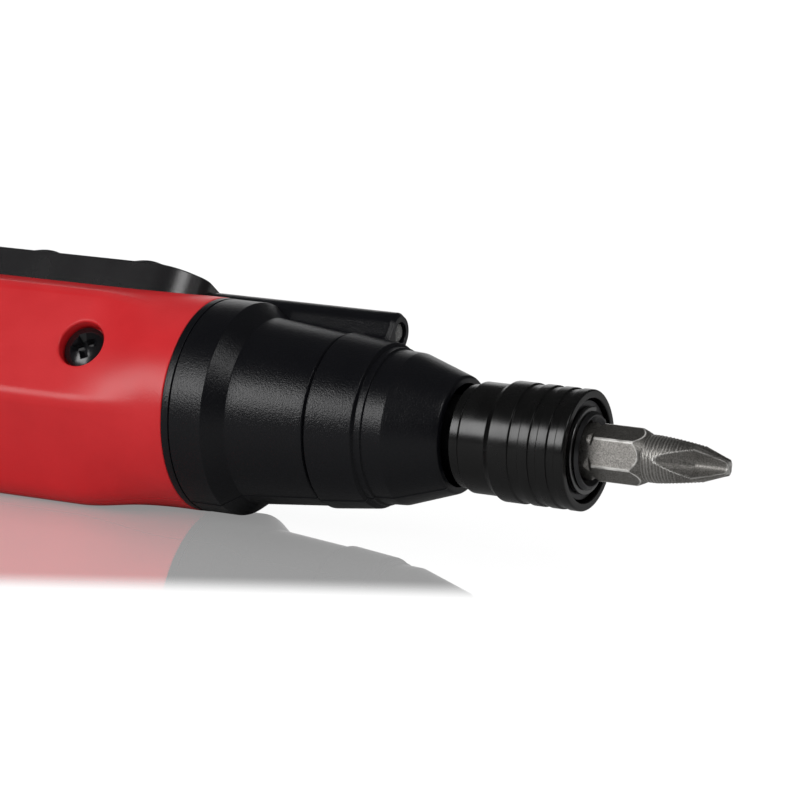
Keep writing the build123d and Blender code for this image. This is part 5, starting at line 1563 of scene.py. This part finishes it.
@dataclass
class Chuck:
    """The quick-change chuck: stop ring, sliding sleeve, spring, washer and snap ring."""

    spindle: float = 4.98
    stop: Flat = (38.1, 39.5)
    stop_gap: float = 0.02
    stop_radius: float = 6.6
    stop_rounds: tuple[float, ...] = (0, 0, 0.22, 0.22)
    rear: float = 39.6
    rear_radius: float = 7.1
    rear_length: float = 3.7
    rear_rounds: Point = (0.25, 0.12, 0.3)
    ramp: float = 0.85
    radius: float = 7.66
    front: float = 54.5
    lip: float = 0.24
    mouth_round: float = 0.15
    grooves: tuple[Flat, ...] = ((46.8, 48.2), (49.6, 50.7), (52.1, 53.2))
    groove_depth: float = 0.2
    groove_walls: Flat = (0.04, 0.06)
    groove_rounds: Flat = (0.09, 0.07)
    sleeve_steps: int = 240
    bore: float = 6.6
    land: float = 5.03
    land_end: float = 47.4
    rear_land: float = 1.4
    ramp_end: float = 45.76
    ramp_start: float = 42.04
    ramp_slope: float = 0.28
    washer: Point = (53.3, 53.9, 6.3)
    washer_rounds: tuple[float, ...] = (0, 0.08, 0.12, 0.08)
    snap: tuple[float, ...] = (54.0, 54.6, 4.5, 5.55)
    snap_rounds: tuple[float, ...] = (0.05, 0.12, 0.14, 0.1)
    snap_gap: float = 3.0
    snap_step: float = 0.05
    spring_radius: float = 5.75
    spring_wire: float = 0.6
    spring_turns: float = 3.0
    spring_gap: float = 0.05
    travel: float = 3.2

    def sleeve(self) -> Outline:
        """The sleeve's closed outline: grip grooves outside, ball ramp and spring bore inside.

        Returns:
            Points as (x, radius).
        """
        shoulder, land_x = self.rear + self.rear_length, self.rear + self.rear_land
        pocket = self.land + self.ramp_slope * (self.ramp_end - self.ramp_start)
        rear, foot, brow = self.rear_rounds
        corners = [(self.rear, self.land, 0), (self.rear, self.rear_radius, rear)]
        corners += [(shoulder, self.rear_radius, foot), (shoulder + self.ramp, self.radius, brow)]
        floor = self.radius - self.groove_depth
        (outside, inside), (brim, sole) = self.groove_walls, self.groove_rounds
        for start, end in self.grooves:
            corners += [(start - outside, self.radius, brim), (start + inside, floor, sole)]
            corners += [(end - inside, floor, sole), (end + outside, self.radius, brim)]
        corners += [(self.front, self.radius, self.lip), (self.front, self.bore, self.mouth_round)]
        corners += [(self.land_end, self.bore, 0), (self.land_end, self.land, 0)]
        corners += [(self.ramp_end, self.land, 0), (self.ramp_start, pocket, 0)]
        corners += [(land_x, pocket, 0), (land_x, self.land, 0)]
        return rounded(corners, step=13.0)

    def snap_ring(self) -> Draft:
        """The snap ring with its gap at the top.

        Returns:
            The draft.
        """
        start, end, inner, outer = self.snap
        section = ring_section(start, end, inner, outer, self.snap_rounds)
        half_gap = self.snap_gap / (inner + outer)
        angles = spread(half_gap, math.tau - half_gap, self.snap_step)
        return Draft().loft([[(x, r * math.sin(a), r * math.cos(a)) for x, r in section] for a in angles])

    def build(self, shop: Workshop) -> None:
        """Makes the chuck's pieces."""
        section = ring_section(*self.stop, self.spindle + self.stop_gap, self.stop_radius, self.stop_rounds)
        stop = shop.turn_on_axis("chuck_stop_ring", section, SLEEVE_BLACK)
        shop.settle(stop, SLEEVE_BLACK, "spindle", ["stop_ring"])
        section = self.sleeve()
        sleeve = shop.turn_on_axis("chuck_sleeve_turned", section, SLEEVE_BLACK, steps=self.sleeve_steps)
        shop.settle(sleeve, SLEEVE_BLACK, "sleeve", ["chuck_sleeve"], sharp=50.0)
        start, end, outer = self.washer
        section = ring_section(start, end, self.land, outer, self.washer_rounds)
        washer = shop.turn_on_axis("chuck_washer", section, DARK_STEEL)
        shop.settle(washer, DARK_STEEL, "spindle", ["spring_washer"])
        ring = shop.raise_mesh("chuck_snap_ring", self.snap_ring())
        shop.settle(ring, RING_STEEL, "spindle", ["snap_ring"])
        low, high = self.land_end + self.spring_gap, start - self.spring_gap
        turn = Euler((0, QUARTER, 0)).to_matrix()
        sizes = (self.spring_radius, self.spring_wire, self.spring_turns, high - low - self.spring_wire)
        spring = shop.wind("chuck_sleeve_spring", (low + self.spring_wire / 2, 0, 0), turn, sizes)
        shop.settle(spring, SPRING_STEEL, "spindle", ["sleeve_spring"])
        shop.press(spring, (high, 0, 0), (low, 0, 0))


@dataclass
class ScrewdriverBit:
    """The bit: hexagonal shank with its ball groove, ribbed neck and fluted cross point."""

    rear: float = 23.5
    rear_edge: float = 0.8
    shank_x: float = 32.0
    tip: float = 73.5
    hexagon: float = 6.35
    corner: float = 3.61
    roll: float = 205.0
    groove_x: float = 45.5
    groove_half: float = 2.6
    groove_radius: float = 2.45
    groove_wall: float = 0.01
    hex_end: float = 61.55
    neck_x: float = 62.85
    neck: float = 3.0
    point_x: float = 69.4
    point: float = 2.9
    tip_radius: float = 1.15
    blunt: float = 0.3
    ribs: int = 15
    rib_depth: float = 0.07
    rib_shape: Flat = (0.15, 0.4)
    flute_core: float = 0.7
    flute_slope: float = 0.1
    flute_sweep: float = 0.268
    flute_open: float = 0.95
    flute_soft: float = 0.72
    flute_limit: float = 0.01
    notch_x: float = 55.9
    notch_half: float = 0.5
    notch_depth: float = 0.38
    # no wear and no painted edge highlight from the notch back, where shade falls
    shaded_notch_share: float = 0.8
    # widths of the painted highlight, mixed with wear, along the hexagon's and the flutes' edges
    edge_wear_and_highlight_width: float = 0.085
    flute_wear_and_highlight_width: float = 0.14
    crest_wear: float = 0.24
    tip_wear: float = 0.42
    tip_worn: float = 0.35
    notch_step: float = 0.1
    shank_step: float = 0.25
    point_step: float = 0.05
    steps: int = 240

    def turned(self, x: float) -> float:
        """The outline before the hexagon and the flutes are cut.

        Args:
            x: The place along the bit.

        Returns:
            The radius there.
        """
        if abs(x - self.groove_x) <= self.groove_half:
            return self.groove_radius
        if x < self.hex_end:
            return min(self.corner, self.corner - self.rear_edge + (x - self.rear))
        if x < self.neck_x:
            share = (x - self.hex_end) / (self.neck_x - self.hex_end)
            return self.corner + (self.neck - self.corner) * share
        if x < self.point_x:
            share = (x - self.neck_x) / (self.point_x - self.neck_x)
            phase = (share * self.ribs) % 1.0
            cut = self.rib_depth * (1 - smoothstep(*self.rib_shape, abs(phase - 0.5)))
            return self.neck + (self.point - self.neck) * share - cut
        share = (x - self.point_x) / (self.tip - self.point_x)
        blunt = self.blunt * max(0.0, (x - self.tip + self.blunt) / self.blunt) ** 2
        return self.point + (self.tip_radius - self.point) * share - blunt

    def cuts(self, x: float, angle: float) -> list[float]:
        """The distances from the axis of the surfaces that bound the bit in one direction.

        Args:
            x: The place along the bit.
            angle: The direction from the bit's own flat, in radians.

        Returns:
            The turned surface, then the hexagon's flat, the notch and the flute where they reach.
        """
        found = [self.turned(x)]
        if x < self.neck_x:
            sixth = math.pi / 3
            off = (angle + sixth / 2) % sixth - sixth / 2
            found.append(self.hexagon / 2 / math.cos(off))
            into = max(0.0, 1 - abs(x - self.notch_x) / self.notch_half)
            found.append(self.corner - self.notch_depth * math.sqrt(into))
        if x > self.hex_end:
            run = max(0.0, self.point_x - x)
            lowest = self.flute_core + self.flute_slope * (self.tip - x) + self.flute_sweep * run
            off = (angle + QUARTER / 2) % QUARTER - QUARTER / 2
            ahead, across = math.cos(off), self.flute_open * math.sin(off)
            opening, base = ahead**2 - across**2, lowest - self.flute_soft
            if opening > self.flute_limit:
                root = math.sqrt((across * base) ** 2 + self.flute_soft**2 * opening)
                found.append((ahead * base + root) / opening)
        return found

    def wear_and_highlight_at(self, x: float, angle: float) -> float:
        """How bright the steel is made: a painted highlight mixed with wear where two surfaces meet in an
        outward edge, wear on the rib crests and at the tip, and none from the notch back, where shade falls.

        Args:
            x: The place along the bit.
            angle: The direction from the bit's own flat, in radians.

        Returns:
            From 0 to 1.
        """
        # nothing from the notch back, where shade falls
        if x < self.notch_x + self.shaded_notch_share * self.notch_half:
            return 0.0
        first, second = (sorted(self.cuts(x, angle)) + [math.inf])[:2]
        width = self.edge_wear_and_highlight_width if x < self.neck_x else self.flute_wear_and_highlight_width
        edge = max(0.0, 1 - (second - first) / width)
        ribbed = self.neck_x < x < self.point_x and self.neck - self.rib_depth < self.turned(x) <= first
        crest = self.crest_wear if ribbed else 0.0
        return max(edge, crest, self.tip_wear * smoothstep(self.tip - self.tip_worn, self.tip, x))

    def stations(self) -> list[float]:
        """Places along the bit, close together on the ribs and the point."""
        low, high = self.groove_x - self.groove_half, self.groove_x + self.groove_half
        start, end = self.notch_x - self.notch_half, self.notch_x + self.notch_half
        rear = [self.rear, self.rear + self.rear_edge / 2, self.rear + self.rear_edge, self.shank_x]
        return rear + [low - self.groove_wall, low, high, high + self.groove_wall] + runs(
            (start, end, self.notch_step),
            (end + self.point_step, self.hex_end, self.shank_step),
            (self.hex_end + self.point_step, self.tip, self.point_step),
        )

    def build(self, shop: Workshop) -> None:
        """Makes the bit and marks its wear and its painted edge highlight."""
        roll = math.radians(self.roll)
        angles = [math.tau * number / self.steps for number in range(self.steps)]
        rows = []
        for x in self.stations():
            reaches = [min(self.cuts(x, angle)) for angle in angles]
            spokes = [cmath.rect(reach, angle + roll) for reach, angle in zip(reaches, angles)]
            rows.append([(x, spoke.real, spoke.imag) for spoke in spokes])
        bit = shop.raise_mesh("cross_point_bit", Draft().loft(rows))
        self.mark_wear_and_highlight(shop.tool, bit.data)
        shop.settle(bit, BIT_STEEL, "bit", ["screwdriver_bit"], sharp=24.0)

    def mark_wear_and_highlight(self, tool: ToolFrame, mesh: bpy.types.Mesh) -> None:
        """Writes the attribute for wear and painted edge highlight for each point of the mesh.

        Args:
            tool: Takes the mesh's points back to the tool's axes.
            mesh: The bit's mesh.
        """
        wear = []
        for corner in mesh.vertices:
            x, y, z = tool.back(corner.co)
            wear.append(self.wear_and_highlight_at(x, math.atan2(z, y) - math.radians(self.roll)))
        mesh.attributes.new("wear", "FLOAT", "POINT").data.foreach_set("value", wear)


@dataclass
class Tail:
    """The black tail cap with its charge window, and the sliding direction selector."""

    front: float = -138.0
    front_gap: float = 0.02
    front_edge: float = 0.14
    rear: float = -146.0
    slope: float = 1.5
    bend: tuple[Flat, ...] = ((1.2, 0.02), (0.4, 0.12), (-0.4, 0.5))
    edge: float = 0.8
    edge_share: float = 0.8
    edge_turn: Flat = (0.3, 0.35)
    plug_front: float = -136.6
    plug_inset: float = 2.15
    window: Flat = (4.6, 1.7)
    window_lip: float = 0.35
    window_edge: float = 0.02
    window_round: float = 0.7
    screw_y: float = 8.6
    screw_depth: float = 1.9
    screw_bore: float = 2.75
    screw_chamfer: float = 0.2
    shank_bore: float = 1.02
    hole_steps: int = 48
    selector_x: float = -92.0
    selector: Point = (6.0, 4.0, 1.5)
    selector_floor: float = 12.05
    selector_round: float = 0.9
    selector_edge: float = 0.5
    least_round: float = 0.1
    neck: Flat = (2.5, 2.0)
    neck_round: float = 0.3
    neck_bite: float = 0.1
    base: Point = (4.5, 3.4, 0.7)
    base_top: float = 10.15
    base_round: float = 0.4
    base_edge: float = 0.05
    ridge_count: int = 5
    ridge_pitch: float = 1.5
    ridge_height: float = 0.3
    ridge_half: float = 0.45
    ridge_step: float = 0.09
    ridge_foot: float = 0.15
    ridge_sink: float = 0.02
    ridge_end: float = 0.9

    def cap(self, housing: RedHousing) -> Draft:
        """The cap, drawn in towards its end, with the plug that enters the housing.

        Args:
            housing: Gives the cross-section.

        Returns:
            The draft.
        """
        face, slope_x = self.front + self.front_gap, self.rear + self.slope
        stations = [(self.plug_front, self.plug_inset), (face, self.plug_inset)]
        stations += [(face, self.front_edge), (face - self.front_edge, 0.0)]
        stations += [(slope_x + ahead, inset) for ahead, inset in self.bend]
        base = self.slope - self.edge_share * self.edge
        stations += [(self.rear + drop, base + inset) for drop, inset in quarter(self.edge, *self.edge_turn)]
        near = housing.angles()
        angles = near + [math.tau - angle for angle in reversed(near[1:-1])]
        rows = []
        for x, inset in stations:
            section = Section(housing.outline(max(0.0, inset)))
            reaches = [section.radius(angle if angle <= math.pi else angle - math.tau) for angle in angles]
            rows.append([(x, -r * math.sin(a), -r * math.cos(a)) for r, a in zip(reaches, angles)])
        return Draft().loft(rows)

    def slab(self, half: Flat, low: float, high: float, corner: float, edge: float) -> Draft:
        """A low rounded block on the selector's place.

        Args:
            half: Its half length and half width.
            low: Its floor.
            high: Its top.
            corner: The corners' radius.
            edge: The top edge's round.

        Returns:
            The draft.
        """
        rings = []
        for z, inset in [(low, 0.0)] + [(high - drop, inset) for drop, inset in quarter(edge, 0.26)]:
            long, wide = half[0] - inset, half[1] - inset
            outline = box_outline((-long, -wide), (long, wide), max(self.least_round, corner - inset))
            rings.append([(self.selector_x + u, v, z) for u, v in outline])
        return Draft().loft(rings)

    def openings(self) -> list[Draft]:
        """The cutters for the charge window and the two screw holes.

        Returns:
            The cutters.
        """
        start, end, lip = self.rear - OVERSHOOT, self.plug_front + OVERSHOOT, self.window_lip
        rim = self.rear + self.window_edge
        rings = []
        for x, grow in ((start, lip), (rim, lip), (self.rear + lip, 0.0), (end, 0.0)):
            wide, tall = self.window[0] + grow, self.window[1] + grow
            outline = box_outline((-wide, -tall), (wide, tall), self.window_round * tall)
            rings.append([(x, u, v) for u, v in outline])
        cutters = [Draft().loft(rings)]
        mouth, floor = self.screw_bore + self.screw_chamfer, self.rear + self.screw_depth
        hole = [(start, 0.0), (start, mouth), (self.rear, mouth)]
        hole += [(self.rear + self.screw_chamfer, self.screw_bore), (floor, self.screw_bore)]
        hole += [(floor, self.shank_bore), (end, self.shank_bore), (end, 0.0)]
        for side in Side:
            middle = side.value * self.screw_y
            cutters.append(Draft().turned(
                hole, lambda u, v, w, middle=middle: (w, middle + u, v), self.hole_steps))
        return cutters

    def ridge_pattern(self) -> Draft:
        """One grip ridge of the selector about the origin.

        Returns:
            The draft, with its foot a little below z = 0.
        """
        half, reach = self.ridge_half, self.selector[1] - self.ridge_end
        across = spread(-half, half, self.ridge_step)
        ridge = [(u, self.ridge_height * math.cos(QUARTER * u / half)) for u in across]
        ridge += [(half, -self.ridge_foot), (-half, -self.ridge_foot)]
        return Draft().prism(ridge, -reach, reach, sideways)

    def build(self, shop: Workshop, housing: RedHousing) -> None:
        """Makes the cap and the selector with its grip ridges."""
        cap = shop.raise_mesh("tail_cap_shell", self.cap(housing))
        for cutter in self.openings():
            shop.combine(cap, cutter)
        shop.settle(cap, NOSE_BLACK, "body", ["tail_cap"], sharp=40.0)
        floor, top = self.selector_floor, self.selector_floor + self.selector[2]
        body = self.slab(self.selector[:2], floor, top, self.selector_round, self.selector_edge)
        slide = shop.raise_mesh("selector_slide", body)
        (u, v), x = self.neck, self.selector_x
        neck = box_outline((x - u, -v), (x + u, v), self.neck_round)
        stem = Draft().prism(neck, self.base_top - self.neck_bite, floor + self.neck_bite)
        shop.combine(slide, stem, Cut.ADD)
        low, high = self.base_top - self.base[2], self.base_top
        base = self.slab(self.base[:2], low, high, self.base_round, self.base_edge)
        shop.combine(slide, base, Cut.ADD)
        shop.settle(slide, LEVER_BLACK, "selector", ["direction_selector"])
        pattern = shop.raise_mesh("ridge_pattern", self.ridge_pattern(), placed=False)
        first = x - self.ridge_pitch * (self.ridge_count - 1) / 2
        places = [first + number * self.ridge_pitch for number in range(self.ridge_count)]
        spots = [((place, 0, top - self.ridge_sink), LEVEL) for place in places]
        ridges = shop.repeat("selector_ridges", pattern, spots, LEVER_BLACK)
        shop.settle(ridges, LEVER_BLACK, "selector")


class Internals:
    """The working pieces inside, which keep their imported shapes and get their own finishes."""

    DRESSED: Mapping[Finish, tuple[str, ...]] = {
        BRIGHT_STEEL: ("charge_socket", "battery_tabs", "gear_washer", "motor_can", "bearing_outer_rings",
                       "bearing_spacer", "bearing_inner_rings", "rotor_shaft"),
        DARK_STEEL: ("bearing_circlip", "output_spindle", "armature"),
        BALL_STEEL: ("bearing_balls", "lock_ball_1", "lock_ball_2"),
        SINTERED: ("first_carrier", "first_planet_1", "first_planet_2", "first_planet_3",
                   "second_planet_1", "second_planet_2", "second_planet_3"),
        PART_BLACK: ("switch_body", "motor_mount", "motor_endbell"),
        PART_GREY: ("switch_plunger", "led_board", "ring_gear"),
        BOARD: ("charge_board", "control_board"),
        BRONZE: ("motor_bushes", "motor_pinion"),
        FERRITE: ("motor_magnets",),
        CARBON: ("motor_brushes",),
        COPPER: ("commutator",),
        WRAP: ("battery_cell",),
    }

    def build(self, nodes: Mapping[str, bpy.types.Object]) -> None:
        """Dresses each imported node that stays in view.

        Args:
            nodes: The frame's nodes.
        """
        for finish, names in self.DRESSED.items():
            for name in names:
                nodes[name].data.materials.clear()
                nodes[name].data.materials.append(finish.material())
                LOG.info("%s: packed shape in %s", name, finish.name)


@dataclass(frozen=True)
class Softbox:
    """A soft rectangular lamp that faces a point of the tool."""

    name: str
    target: Point
    azimuth: float
    elevation: float
    distance: float
    size: Flat
    power: float

    def build(self, tool: ToolFrame) -> None:
        """Makes the lamp, turned from the near side by its azimuth and raised by its elevation."""
        data = bpy.data.lights.new(self.name, "AREA")
        data.shape = "RECTANGLE"
        data.size, data.size_y = self.size
        data.energy = self.power
        lamp = stand(self.name, data)
        direction = bearing(self.azimuth, self.elevation)
        lamp.location = tool.point(*self.target) + direction * self.distance
        lamp.rotation_euler = direction.to_track_quat("Z", "Y").to_euler()
        lamp.visible_camera = False


@dataclass
class Studio:
    """The camera, the soft lights, the pale floor and the white surroundings."""

    image: float = 800.0
    focal: float = 4000.0
    sensor: float = 36.0
    clip: Flat = (0.01, 50.0)
    azimuth: float = 27.7042
    elevation: float = 10.7082
    roll: float = 1.3105
    aim: Point = (54.0, 0.0, 0.0)
    aim_pixel: Flat = (585.2142, 450.1598)
    aim_depth: float = 497.37
    softboxes: tuple[Softbox, ...] = (
        Softbox("key_softbox", (20.0, 0.0, 0.0), -28.0, 26.0, 0.9, (0.42, 0.4), 3.65),
        Softbox("side_softbox", (0.0, 0.0, 6.0), 54.0, 46.5, 0.9, (0.26, 0.26), 1.2),
    )
    room: Flat = (0.37, 1.3)
    room_back: Point = (0.0, 0.7, 0.7)
    room_range: Flat = (0.3, 0.9)
    room_shine: float = 0.04
    sweep: Flat = (0.966, 0.988)
    floor_size: float = 6.0
    floor_glow: float = 0.82
    glow_range: Flat = (0.12, 0.4)
    floor_share: float = 0.26
    floor_bounce: float = 0.8
    floor_shine: float = 0.34
    mirror: float = 0.7
    mirror_reach: Flat = (-0.066, -0.055)

    def camera(self, tool: ToolFrame) -> None:
        """Makes the camera at the photograph's viewing angle.

        Args:
            tool: Places the point that the camera is set by.
        """
        turn, roll = math.radians(self.azimuth), math.radians(self.roll)
        forward = -bearing(self.azimuth, self.elevation)
        level = Vector((math.cos(turn), math.sin(turn), 0))
        upward = level.cross(forward)
        right = level * math.cos(roll) + upward * math.sin(roll)
        up = right.cross(forward)
        u, v = ((pixel - self.image / 2) / self.focal for pixel in self.aim_pixel)
        place = tool.point(*self.aim) - (right * u - up * v + forward) * self.aim_depth * MM
        data = bpy.data.cameras.new("photo_camera")
        data.sensor_width = self.sensor
        data.lens = self.focal * self.sensor / self.image
        data.clip_start, data.clip_end = self.clip
        camera = stand("photo_camera", data)
        camera.matrix_world = Matrix.Translation(place) @ Matrix((right, up, -forward)).transposed().to_4x4()
        bpy.context.scene.camera = camera

    def world(self) -> None:
        """White for the camera; for reflections a white sweep behind the object and a dim room elsewhere."""
        world = bpy.data.worlds.new("white_studio")
        bpy.context.scene.world = world
        sketch = NodeSketch.fresh(world)
        direction = sketch.add("ShaderNodeTexCoord").outputs["Generated"]
        path = sketch.add("ShaderNodeLightPath").outputs
        shiny = sketch.math("MAXIMUM", path["Is Glossy Ray"], path["Is Transmission Ray"])
        behind = sketch.dot(direction, -bearing(self.azimuth, -self.elevation))
        sheen = sketch.span(behind, self.room_shine, 1.0, *self.sweep)
        soft = sketch.span(sketch.dot(direction, self.room_back), *self.room, *self.room_range)
        plain = sketch.math("MULTIPLY", sketch.math("SUBTRACT", 1.0, shiny), soft)
        shade = sketch.math("ADD", plain, sketch.math("MULTIPLY", shiny, sheen))
        dim = sketch.add("ShaderNodeBackground", {"Color": WHITE, "Strength": shade})
        white = sketch.add("ShaderNodeBackground", {"Color": WHITE, "Strength": 1.0})
        seen = sketch.math("MAXIMUM", path["Is Camera Ray"], path["Is Singular Ray"])
        sketch.add("ShaderNodeOutputWorld", {"Surface": sketch.mix(seen, dim, white).outputs[0]})

    def floor(self) -> None:
        """Makes a pale floor that keeps the object's shadow and a soft mirror image close to it."""
        half = self.floor_size / 2
        mesh = bpy.data.meshes.new("pale_floor")
        corners = [(-half, -half, 0), (half, -half, 0), (half, half, 0), (-half, half, 0)]
        mesh.from_pydata(corners, [], [(0, 1, 2, 3)])
        floor = stand("pale_floor", mesh)
        material = bpy.data.materials.new("pale_floor")
        sketch = NodeSketch.fresh(material)
        spot = sketch.add("ShaderNodeTexCoord").outputs["Object"]
        deep = sketch.dot(spot, -bearing(self.azimuth, 0.0))
        near = sketch.span(deep, 0.0, self.mirror, *self.mirror_reach)
        away = sketch.add("ShaderNodeVectorMath", {0: spot}, operation="LENGTH").outputs["Value"]
        shine = sketch.span(away, self.floor_glow, 1.0, *self.glow_range)
        glow = sketch.add("ShaderNodeEmission", {"Color": WHITE, "Strength": shine})
        share = sketch.matte(self.floor_share)
        pale = sketch.add("ShaderNodeAddShader", {0: glow.outputs[0], 1: share.outputs[0]})
        mirror = sketch.add("ShaderNodeBsdfGlossy", {"Color": WHITE, "Roughness": 0.0})
        shown = sketch.mix(near, pale, mirror)
        path = sketch.add("ShaderNodeLightPath").outputs
        bounce, dim = sketch.matte(self.floor_bounce), sketch.matte(self.floor_shine)
        hidden = sketch.mix(path["Is Glossy Ray"], bounce, dim)
        surface = sketch.mix(path["Is Camera Ray"], hidden, shown)
        sketch.add("ShaderNodeOutputMaterial", {"Surface": surface.outputs[0]})
        mesh.materials.append(material)

    def build(self, tool: ToolFrame) -> None:
        """Sets up the camera, lights, floor and world."""
        self.camera(tool)
        for softbox in self.softboxes:
            softbox.build(tool)
        self.world()
        self.floor()
        bpy.context.scene.view_settings.view_transform = "Standard"


def main() -> None:
    """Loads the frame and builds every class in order."""
    logging.basicConfig(level=logging.INFO, format="%(name)s: %(message)s")
    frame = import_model()
    tool = ToolFrame.from_joints(frame["joints"])
    shop = Workshop(tool)
    lever, housing, screws = SwitchLever(), RedHousing(), Screws()
    lever.build(shop)
    housing.build(shop, lever, screws)
    screws.build(shop)
    Nose().build(shop)
    Chuck().build(shop)
    ScrewdriverBit().build(shop)
    Tail().build(shop, housing)
    Internals().build(frame["nodes"])
    Studio().build(tool)


if __name__ == "__main__":
    main()
